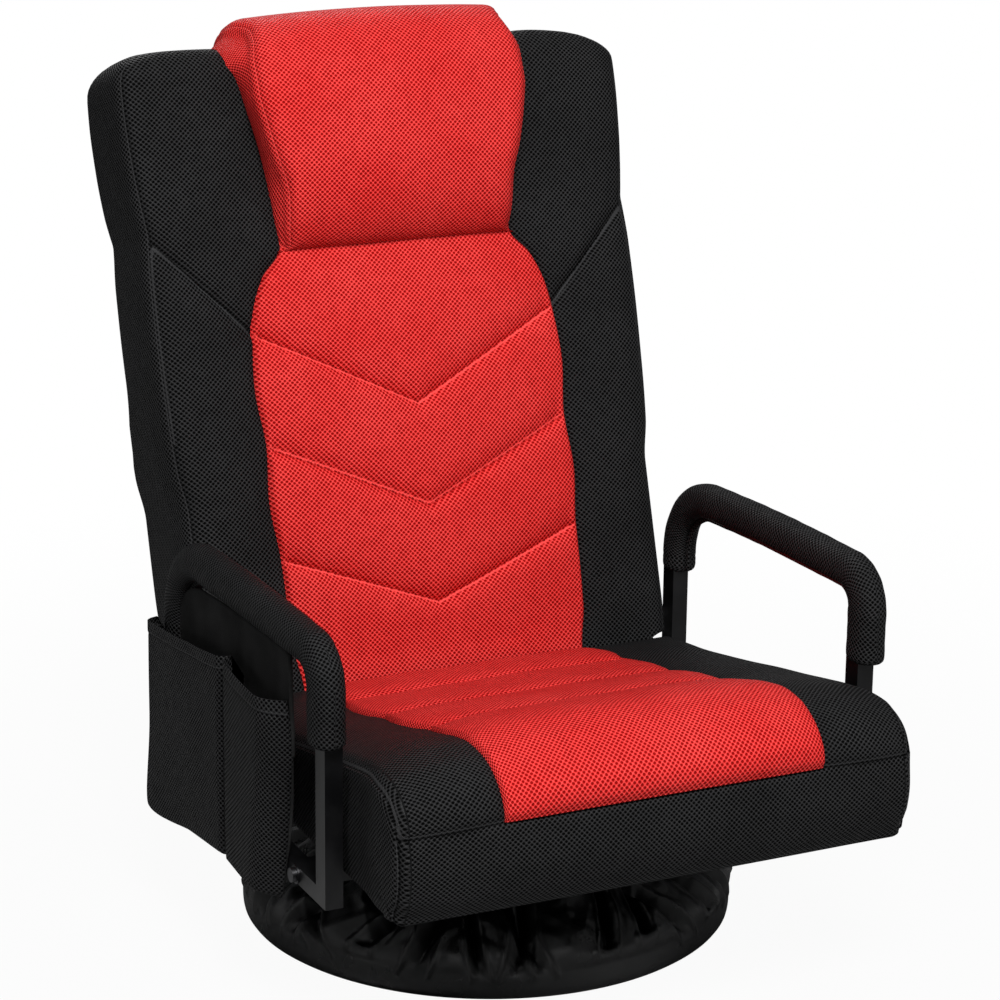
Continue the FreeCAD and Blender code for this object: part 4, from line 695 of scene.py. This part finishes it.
def seat_cover():
    """Black cover of the seat: base, front panel, bolsters and side gussets."""
    rows, middle_row = seat_rows()
    seam_over = 11.8
    points, flat, seams = [], [], []
    for x, inset, keep in rows:
        loop, start = seat_loop(min(abs(x), SEAT_HALF))
        forward = np.gradient(loop, axis=0)
        normal = unit(np.stack([forward[:, 1], -forward[:, 0]], -1))
        y, z = loop[:, 0], loop[:, 1]
        step = np.arange(len(loop)) - start
        on_top = step >= 0
        half = seat_panel_half(y)
        sunk = smooth(-2.0, 8.0, half - abs(x)) * on_top * (y < 84) * smooth(-4, 5, step)
        t = np.clip((abs(x) - half) / (SEAT_HALF - 8 - half), 0, 1)
        full = 5.0 * np.sin(math.pi * t) ** 0.8 * on_top * smooth(88, 20, y)
        way = lengths(loop)
        from_front = way - way[start]
        lean = math.asin(np.clip((abs(x) - SEAT_FLAT) / CORNER, 0.0, 1.0))
        beyond = CORNER * (lean - math.pi / 4) if lean > 0 else abs(x) - SEAT_FLAT - seam_over
        seam = 3.2 * bump(from_front, 2.6) + 1.6 * bump(from_front, 10.0)
        seam = seam * (beyond < 0) + 2.4 * bump(beyond, 2.6)
        clear = smooth(7, 3, beyond) * smooth(3.0, 0.0, inset - CORNER)
        seams.append(seam_map(nearest(from_front + 0.01, beyond), way + x, clear))
        puff = 2.2 * np.sin(math.pi * np.clip((z - 170) / 80.0, 0, 1)) * (y < -340) * (~on_top)
        move = -sunk * 8.0 + full * (1 - sunk) - seam + puff - inset
        shaped = loop - normal * move[:, None]
        spine_z = 215.0 - 18.0 * smooth(-300, 30, shaped[:, 0])
        shaped = shaped * keep + np.stack([np.clip(shaped[:, 0], -330.0, 30.0), spine_z], -1) * (1 - keep)
        spread_out = 4.5 * smooth(150, SEAT_HALF, abs(x)) * smooth(-285, -335, y)
        points.append(np.column_stack([x + np.sign(x) * spread_out, shaped]))
        flat.append(np.column_stack([np.full(len(loop), x), loop + normal * inset]))
    points, flat, seams = map(np.array, (points, flat, seams))
    points, flat, seams = (np.concatenate([a, a[:, :1]], axis=1) for a in (points, flat, seams))
    chart = chart_of(flat.transpose(1, 0, 2), seat_loop(0.0)[1], middle_row).transpose(1, 0, 2)
    flank = np.abs(points[:, :, 0]) > SEAT_HALF - 9.0
    chart[flank] = points[flank][:, 1:3]
    grid("seat_cover", points, chart, "seat", "black_mesh", ["seat_cushion"], loop=True, seams=seams)


def seat_panel():
    """Red channelled panel of the seat."""
    count, columns = len(MIDDLE_LINE), 108
    steps = np.repeat(np.arange(count)[:, None], columns, axis=1)
    s = crowded(columns, 1.25) + 0 * steps
    x = s * seat_panel_half(MIDDLE_LINE[:, 0][:, None])
    place = seat_top(x, steps)
    forward = np.gradient(place, axis=0)
    normal = unit(np.stack([-forward[..., 1], forward[..., 0]], -1))
    y, reach = place[..., 0], np.abs(s)
    press = sum(7.0 * np.exp(-np.abs(y - c) / 9.0) + pucker(x, y - c, 79) for c in CHANNELS)
    end = smooth(0, 7, steps) * smooth(count - 1, count - 9, steps)
    crown, inner = (1 - reach ** 7) ** 0.5, smooth(1.0, 0.985, reach)
    move = (7.0 * crown + 2.0) * (0.35 + 0.65 * end) * inner - press * smooth(1.0, 0.9, reach)
    move = move - 3.5 * (1 - inner) - 4.0 * (1 - smooth(0, 2.0, steps)) + waves(x, y, 31, 130.0) * 0.8 * end
    points = np.concatenate([x[..., None], place + normal * move[..., None]], -1)
    side = 7.0 * (1 - crown) + 10.0 * (1 - inner)
    flat = np.concatenate([(x + np.sign(x) * side)[..., None], place], -1)
    seams = seam_map(nearest(*[y - c for c in CHANNELS]), x, 0.8 * smooth(1.0, 0.95, reach))
    grid("seat_panel_cover", points, chart_of(flat, 0, columns // 2), "seat", "red_mesh", ["seat_center_panel"],
         seams=seams)


def dust_cloth():
    """Cloth stretched over the underside of the seat frame."""
    half = 243.0
    x = np.linspace(-half, half, 60)[None, :]
    y = np.linspace(-345.0, 72.0, 52)[:, None]
    z = 161.75 + 0.25 * waves(x, y, 41, 60.0) * smooth(0, 30, half - np.abs(x))
    points = np.stack(np.broadcast_arrays(x, y, z), -1)
    piece = grid("seat_dust_cloth", points, points[..., :2], "seat", "dust_cloth", ["seat_bottom_cloth"])


# Arms and pouch

ARM_FRONT, ARM_REAR = -264.15, 131.15
ARM_TOP = ((ARM_FRONT, 392.5), (ARM_REAR, 383.5))
TUBE_DEPTH = 22.3
PAD_SKIN = 7.0
PAD_HALF = 16.3
PAD_MIDDLE = 280.75
PAD_SEAM = 20
# Turned-in ends of a pad: share of the slice that is left, and how far down it lies
PAD_ENDS = ((0.965, 2.2), (0.88, 4.0), (0.66, 4.4), (0.58, 1.0))
BENDS = ((ARM_FRONT, 1, 40.0, 306.0), (ARM_REAR, -1, 84.0, 287.0))


def pad_path(rear_lift):
    """Centres, angles, reaches and lifts of the slices along an arm pad, front end first."""
    slope = (ARM_TOP[1][1] - ARM_TOP[0][1]) / (ARM_REAR - ARM_FRONT)
    steep = math.sqrt(1 + slope * slope)
    tilt = math.atan(slope)
    found = []
    for edge, side, radius, end in BENDS:
        y = edge + side * radius
        z = ARM_TOP[0][1] + slope * (y - ARM_FRONT) - radius * steep
        start = math.pi if side > 0 else 0.0
        extra, lift = (6.0, 4.0) if side > 0 else (0.0, rear_lift)
        part = [(y, end + (z - end) * k, start, extra, 0.0, radius) for k in np.linspace(0.0, 1.0, 14)]
        for k in np.linspace(0.0, 1.0, 22)[1:]:
            angle = start + (math.pi / 2 + tilt - start) * k
            part.append((y, z, angle, extra * (1 - k), lift * k, radius))
        found.append(part if side > 0 else part[::-1])
    a, b = found[0][-1], found[1][0]
    between = []
    for k in np.linspace(0.0, 1.0, 46)[1:-1]:
        y, z, angle, extra, lift, radius = (p + (q - p) * k for p, q in zip(a, b))
        between.append((y, z, angle, extra, lift + 2.5 * math.sin(math.pi * k), radius))
    return found[0] + between + found[1]


def pad_ring(y, z, angle, extra, lift, radius, swell):
    """One slice across an arm pad: a flattened round."""
    outward = radius + PAD_SKIN + extra + lift
    inward = max(radius - TUBE_DEPTH - PAD_SKIN + min(lift, 4.5), 2.0)
    turn = np.linspace(0.0, 2 * math.pi, 2 * PAD_SEAM + 1)
    across = PAD_HALF * np.sign(np.sin(turn)) * np.abs(np.sin(turn)) ** 0.88
    along = (outward - inward) / 2 * np.sign(np.cos(turn)) * np.abs(np.cos(turn)) ** 0.88
    radial = (outward + inward) / 2 + along * swell
    y, z = y + math.cos(angle) * radial, z + math.sin(angle) * radial
    return np.stack([PAD_MIDDLE + across * swell, y, z], -1)


def arm_pad(side, node):
    """Foam sleeve over an arm, sewn along its inner line, with turned-in ends."""
    name = node + "_cover"
    rings = []
    for i, slice_at in enumerate(pad_path(rear_lift=6.5 if side < 0 else 0.5)):
        rings.append(pad_ring(*slice_at, 1.0 + 0.012 * math.sin(i * 0.9) * math.sin(i * 0.31 + side)))
    ends = []
    for ring in (rings[0], rings[-1]):
        centre = ring[:-1].mean(axis=0)
        ends.append([centre + (ring - centre) * share - [0.0, 0.0, fall] for share, fall in PAD_ENDS])
    rings = np.array(ends[0][::-1] + rings + ends[1])
    chart = chart_of(rings, len(PAD_ENDS), 0)
    pinch = 2.2 * bump(np.arange(2 * PAD_SEAM + 1) - PAD_SEAM, 1.1)
    rings = rings + unit(rings[:, :-1].mean(axis=1, keepdims=True) - rings) * pinch[None, :, None]
    rings[..., 0] *= side
    grid(name, rings, chart, "seat", "black_mesh", [node], loop=True)
    hem = hem_along(rings, side, name + "_hem")
    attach(hem, "seat")


def hem_along(rings, side, name):
    """Closing seam of an arm pad: a narrow folded edge that stands up along its inner line."""
    line = rings[3:-3, PAD_SEAM]
    inward = unit(line - rings[3:-3, :-1].mean(axis=1))
    wide = np.array([1.0, 0.0, 0.0]) * side
    section = [(-1.8, -2.0), (-1.9, 4.6), (-0.9, 6.2), (0.9, 6.2), (1.9, 4.6), (1.8, -2.0)]
    points = np.array([[p + wide * a + v * b for a, b in section] for p, v in zip(line, inward)])
    ends = [np.repeat(points[k].mean(axis=0)[None], len(section), axis=0) for k in (0, -1)]
    points = np.concatenate([[ends[0]], points, [ends[1]]])
    return grid(name, points, chart_of(points, 0, 2), "seat", "black_mesh")


PANEL_OUT = 288.0
POCKET_DEPTH = 25.5
HEM = 12.5
POUCH_MIDDLE = -70.0
LINING_OUT = 287.0


def pocket(name, node, left, right, low, high, seed, pinch_left, pinch_right, turn):
    """A cloth pocket: a bellied face turned in to the lining at its sides and bottom, open at the top."""
    a = np.linspace(0.0, 1.0, 58)[None, :]
    b = np.linspace(0.0, 1.0, 74)[:, None]
    y_left, y_right = left(b), right(b)
    y = y_left + (y_right - y_left) * a
    bottom, top = low(y), high(y)
    z = bottom + (top - bottom) * b
    width, height = np.abs(y_right - y_left), top - bottom
    from_left, from_right = a * width, (1 - a) * width
    from_low, from_top = b * height, (1 - b) * height

    def wall(distance, deep, reach):
        return deep + (1 - deep) * (1 - (1 - np.clip(distance / reach, 0, 1)) ** 2.6)

    shape = wall(from_left, pinch_left, 12.0) * wall(from_right, pinch_right, turn)
    shape = shape * wall(from_low, 0.45, 7.0) * (1.0 + 0.2 * smooth(0.5, 0.0, b) * smooth(20, 120, y))
    belly = 1.6 * np.sin(math.pi * a) * np.sin(math.pi * np.clip(b * 0.85, 0, 1))
    hem = 0.7 * smooth(HEM + 0.5, HEM - 1.0, from_top) - 0.9 * bump(from_top - HEM, 1.1)
    free = smooth(0, 40, from_low) * smooth(0, 30, np.minimum(from_left, from_right))
    crumple = waves(y, z, seed, 120.0) * 1.2 * free
    out = POCKET_DEPTH * shape + belly * shape + hem + crumple * shape - 1.4
    droop = 2.0 * np.sin(math.pi * a) * smooth(0.9, 1.0, b)
    points = np.stack(np.broadcast_arrays(-(PANEL_OUT + out), y, z - droop), -1)
    sides = points[:, [0, -1]].copy()
    sides[..., 0] = -PANEL_OUT
    sides[..., 2] -= 24.0 * smooth(0.8, 1.0, b)
    points = np.concatenate([sides[:, :1], points, sides[:, 1:]], axis=1)
    foot = points[:1] * [0, 1, 1] + [-PANEL_OUT, 0.0, 1.0]
    rim = points[-1:] + [0.9, 0.0, 0.9]
    inside = points[[-1, -4, -8, -12]] + [1.7, 0.0, 0.0]
    points = np.concatenate([foot, points, rim, inside])
    chart = chart_of(points, 0, 29)
    from_top = np.pad(np.pad(from_top, ((1, 0), (1, 1)), "edge"), ((0, 5), (0, 0)))
    grid(name, points, chart, "seat", "black_mesh", [node],
         seams=seam_map(from_top - HEM, chart[..., 0], 0.8 * (from_top > 0)))


def pouch():
    """Pouch of the left arm: lining hung from the pad, and two pockets side by side."""
    low = curve((-190, 114), (-166, 117), (-70, 123), (20, 113), (128, 100), (141, 104))
    low_front = curve((-194, 128), (-178, 119), (-164, 117), (-70, 123))
    low_rear = curve((-70, 123), (20, 113), (118, 99.5), (134, 103), (141, 114))
    high_front = curve((-194, 319), (-186, 320), (-170, 320.5), (-126, 323), (-74, 327), (-70, 328))
    high_rear = curve((-70, 327), (-20, 321), (80, 308), (141, 300))
    front_edge = curve((0, -164), (0.1, -169), (0.3, -179), (0.55, -187.5), (0.74, -193), (0.9, -191),
                       (1, -186))
    rear_edge = curve((0, 139), (0.08, 143), (0.6, 143), (1, 141))
    pocket("pouch_front_cover", "pouch_front_pocket", lambda b: POUCH_MIDDLE - 0.3 + 0 * b, front_edge,
           low_front, high_front, 51, 0.56, 0.18, 34.0)
    pocket("pouch_rear_cover", "pouch_rear_pocket", rear_edge, lambda b: POUCH_MIDDLE + 0.3 + 0 * b,
           low_rear, high_rear, 57, 0.5, 0.62, 12.0)
    across = np.linspace(0.0, 1.0, 60)[None, :]
    b = across.T
    left = curve((0, -164), (0.08, -169), (0.3, -185), (0.5, -192), (0.72, -190), (0.84, -187), (1, -186))(b)
    y = left + (139.0 - left) * across
    bottom = low(y) + 3.0
    top = curve((-194, 362), (-186, 366), (40, 357), (70, 350), (95, 335), (110, 318), (120, 300),
                (141, 282))(y)
    z = bottom + (top - bottom) * b
    points = np.stack([-LINING_OUT + 0.35 * waves(y, z, 61, 90.0), y, z], -1)
    lining = grid("pouch_lining_cloth", points, points[..., 1:], "seat", "pouch_cloth", ["pouch_lining"])
    thicken(lining, 1.4)
    tube_along("pouch_edging", points[36:, 0], 2.3, "seat", "pouch_cloth")


def tube_along(name, line, radius, body, slot):
    """A round edging that follows a line."""
    line = even(line, 40)
    wide = np.array([1.0, 0.0, 0.0])
    aside = unit(np.cross(unit(np.gradient(line, axis=0)), wide))
    turn = np.linspace(0.0, 2 * math.pi, 13)[None, :, None]
    rings = line[:, None] + radius * (np.cos(turn) * aside[:, None] + np.sin(turn) * wide)
    ends = [np.repeat(line[k][None, None], 13, axis=1) for k in (0, -1)]
    rings = np.concatenate([ends[0], rings, ends[1]])
    grid(name, rings, chart_of(rings, 0, 0), body, slot, loop=True)


# Base cover

# Section of the cover from the rim's underside up to the hub, as radius and height
COVER_LINE = [(239, 0.8), (244, 2.2), (247, 6.0), (247.8, 14), (247.6, 24), (246, 33), (241, 42), (231, 51),
              (214, 62), (190, 79), (163, 98), (138, 115), (120, 127), (112, 130.5)]
COVER_RADIUS = 240.0
COVER_TOP = 131.0


def pinches(random, turn, high):
    """How deep the pinches under the rim lie, how far their lips stand out, and how near each place is."""
    centres = np.cumsum(random.uniform(0.13, 0.33, 30))
    centres = centres / centres[-1] * 2 * math.pi
    closest = np.full(np.broadcast(turn, high).shape, 9.0)
    valley, rim = np.zeros_like(closest), np.zeros_like(closest)
    for centre in centres:
        lean, tip = random.uniform(-0.45, 0.45), random.uniform(24.0, 42.0)
        deep, wide = random.uniform(7.0, 15.0), random.uniform(0.03, 0.065)
        swing = turn - centre - lean * np.maximum(high - tip, 0.0) / 100.0
        swing = np.abs((swing + math.pi) % (2 * math.pi) - math.pi)
        grown = smooth(tip - 3, tip + 26, high)
        valley = np.maximum(valley, deep * grown * np.clip(1 - swing / wide, 0.0, 1.0) ** 1.2)
        near_tip = smooth(tip - 7, tip + 3, high) * smooth(tip + 60, tip + 20, high)
        rim = np.maximum(rim, 2.6 * near_tip * bump(swing - wide - 0.006, 0.011))
        closest = np.minimum(closest, swing + 0.5 * (1 - smooth(tip - 8, tip + 6, high)))
    return valley, rim, closest


def folds(random, across, along):
    """Short straight folds at random, most of them across the cover."""
    total = np.zeros(np.broadcast(across, along).shape)
    round_way = 2 * math.pi * COVER_RADIUS
    for _ in range(110):
        x, y = random.uniform(0, round_way), random.uniform(38.0, 150.0)
        angle = random.uniform(0.25, 1.2) * random.choice([-1, 1]) + math.pi / 2
        reach = random.uniform(22.0, 60.0)
        dx, dy = (across - x + round_way / 2) % round_way - round_way / 2, along - y
        forward = dx * math.cos(angle) + dy * math.sin(angle)
        aside = np.abs(dy * math.cos(angle) - dx * math.sin(angle))
        sharp = np.clip(1 - aside / random.uniform(7.0, 15.0), 0, 1)
        total += random.uniform(1.5, 4.0) * sharp * smooth(reach, reach * 0.3, np.abs(forward))
    return total


def base_cover():
    """Nylon cover drawn over the ring: a taut band at the rim, then pinched, crumpled folds up to the hub."""
    random = np.random.default_rng(19)
    turn = np.linspace(0.0, 2 * math.pi, 1081)[None, :]
    line = spline(COVER_LINE, 88)
    high, along = line[:, 1][:, None], lengths(line)[:, None]
    valley, rim, closest = pinches(random, turn, high)
    across = turn * COVER_RADIUS
    belly = 10.0 * (1 - np.exp(-closest / 0.07)) * smooth(26, 46, high) * smooth(125, 95, high)
    fine = 1.1 * np.abs(waves(across, along, 91, 38.0)) * smooth(30, 60, high)
    creases = (folds(random, across, along) + fine) * smooth(34, 56, high)
    depth = belly + creases - valley + rim - 9.0 * smooth(40, 100, high)
    depth = depth * smooth(COVER_TOP, 114, high) + 0.25 * waves(across, along, 97, 160.0) * smooth(36, 10, high)
    outward = unit(np.gradient(line, axis=0)[:, ::-1] * [1, -1])
    radius = line[:, 0][:, None] + depth * outward[:, 0][:, None]
    rise = np.minimum(high + depth * np.maximum(outward[:, 1], 0.0)[:, None], COVER_TOP)
    points = np.stack([radius * np.cos(turn), radius * np.sin(turn), rise], -1)
    chart = np.stack(np.broadcast_arrays(across, along), -1)
    piece = grid("base_cover_cloth", points, chart, "base", "black_nylon", ["base_cover"], loop=True)


# Floor, light and camera

WHITE = (1.0, 1.0, 1.0, 1.0)
SKY, SKY_POWER = (0.95, 0.97, 1.0, 1.0), 0.14
FLOOR_TONE = (0.34, 0.34, 0.34, 1.0)
LAMPS = (("key", (-0.65, -2.25, 3.15), 1.5, 172.0), ("fill", (2.4, -2.8, 1.6), 2.2, 20.0),
         ("side", (-3.4, -1.2, 0.9), 1.2, 16.0), ("rear", (0.6, 2.8, 2.4), 2.0, 36.0))
LIT_AT = Vector((0.0, 0.0, 0.42))
CAMERA_AZIMUTH, CAMERA_ELEVATION, CAMERA_ROLL = math.radians(-25.55), math.radians(16.86), math.radians(0.66)
CAMERA_TARGET = Vector((10.93, 0.0, 423.74))
CAMERA_DISTANCE = 3223.49
FOCAL_SHARE = 3.26313  # focal length in picture widths
SENSOR = 36.0


def studio():
    """White surroundings and soft round lamps."""
    world = bpy.data.worlds.new("studio")
    bpy.context.scene.world = world
    world.use_nodes = True
    tree = world.node_tree
    tree.nodes.clear()
    ray = add_node(tree, "LightPath").outputs
    seen = add_node(tree, "Math", ray["Is Camera Ray"], ray["Is Transmission Ray"], operation="MAXIMUM")
    light = add_node(tree, "Background", SKY, SKY_POWER)
    shown = add_node(tree, "Background", WHITE, 1.0)
    both = add_node(tree, "MixShader", seen.outputs[0], light.outputs[0], shown.outputs[0])
    add_node(tree, "OutputWorld", both.outputs[0])
    for name, place, size, power in LAMPS:
        lamp = bpy.data.lights.new(name, "AREA")
        lamp.shape, lamp.size, lamp.energy = "DISK", size, power
        item = bpy.data.objects.new(name, lamp)
        item.location = place
        item.rotation_euler = (LIT_AT - Vector(place)).to_track_quat("-Z", "Y").to_euler()
        bpy.context.scene.collection.objects.link(item)


def floor():
    """Round pale floor that carries the object's shadow and fades into white."""
    turn = np.linspace(2 * math.pi, 0.0, 65)[None, :]
    radius = np.array([0.0, 400.0, 1500.0, 6000.0, 14000.0])[:, None]
    x, y = radius * np.cos(turn), radius * np.sin(turn)
    piece = surface("floor", np.stack([x, y, 0 * x - 0.05], -1))
    f = Finish("floor", Base_Color=FLOOR_TONE, Roughness=0.9, Specular_IOR_Level=0.1)
    away = add_node(f.tree, "VectorMath", f.place(), operation="LENGTH").outputs["Value"]
    ray = add_node(f.tree, "LightPath").outputs["Is Camera Ray"]
    share = f.times(ray, f.spread(away, 0.3, 1.6, 0.95, 1.0))
    both = f.step("MixShader", share, f.shader.outputs[0], f.step("Emission", WHITE, 1.0))
    put(f.tree, f.out.inputs["Surface"], both)
    piece.data.materials.append(f.material)


def camera():
    """Camera at the photograph's place, angle and angle of view."""
    side, rise = math.sin(CAMERA_AZIMUTH), math.sin(CAMERA_ELEVATION)
    ahead, level = math.cos(CAMERA_AZIMUTH), math.cos(CAMERA_ELEVATION)
    back = Vector((side * level, -ahead * level, rise))
    right = Vector((ahead, side, 0))
    up = back.cross(right)
    s, c = math.sin(CAMERA_ROLL), math.cos(CAMERA_ROLL)
    data = bpy.data.cameras.new("camera")
    data.sensor_fit = "HORIZONTAL"
    data.sensor_width = SENSOR
    data.lens = FOCAL_SHARE * SENSOR
    data.clip_start, data.clip_end = 0.05, 60.0
    item = bpy.data.objects.new("camera", data)
    turn = Matrix((right * c + up * s, up * c - right * s, back)).transposed().to_4x4()
    item.matrix_world = Matrix.Translation((CAMERA_TARGET + back * CAMERA_DISTANCE) * MM) @ turn
    bpy.context.scene.collection.objects.link(item)
    bpy.context.scene.camera = item


camera()
studio()
floor()
dress_nodes()
back_cover()
lumbar()
head()
seat_cover()
seat_panel()
dust_cloth()
arm_pad(1, "arm_pad_right")
arm_pad(-1, "arm_pad_left")
pouch()
base_cover()

bpy.context.scene.view_settings.view_transform = "Standard"
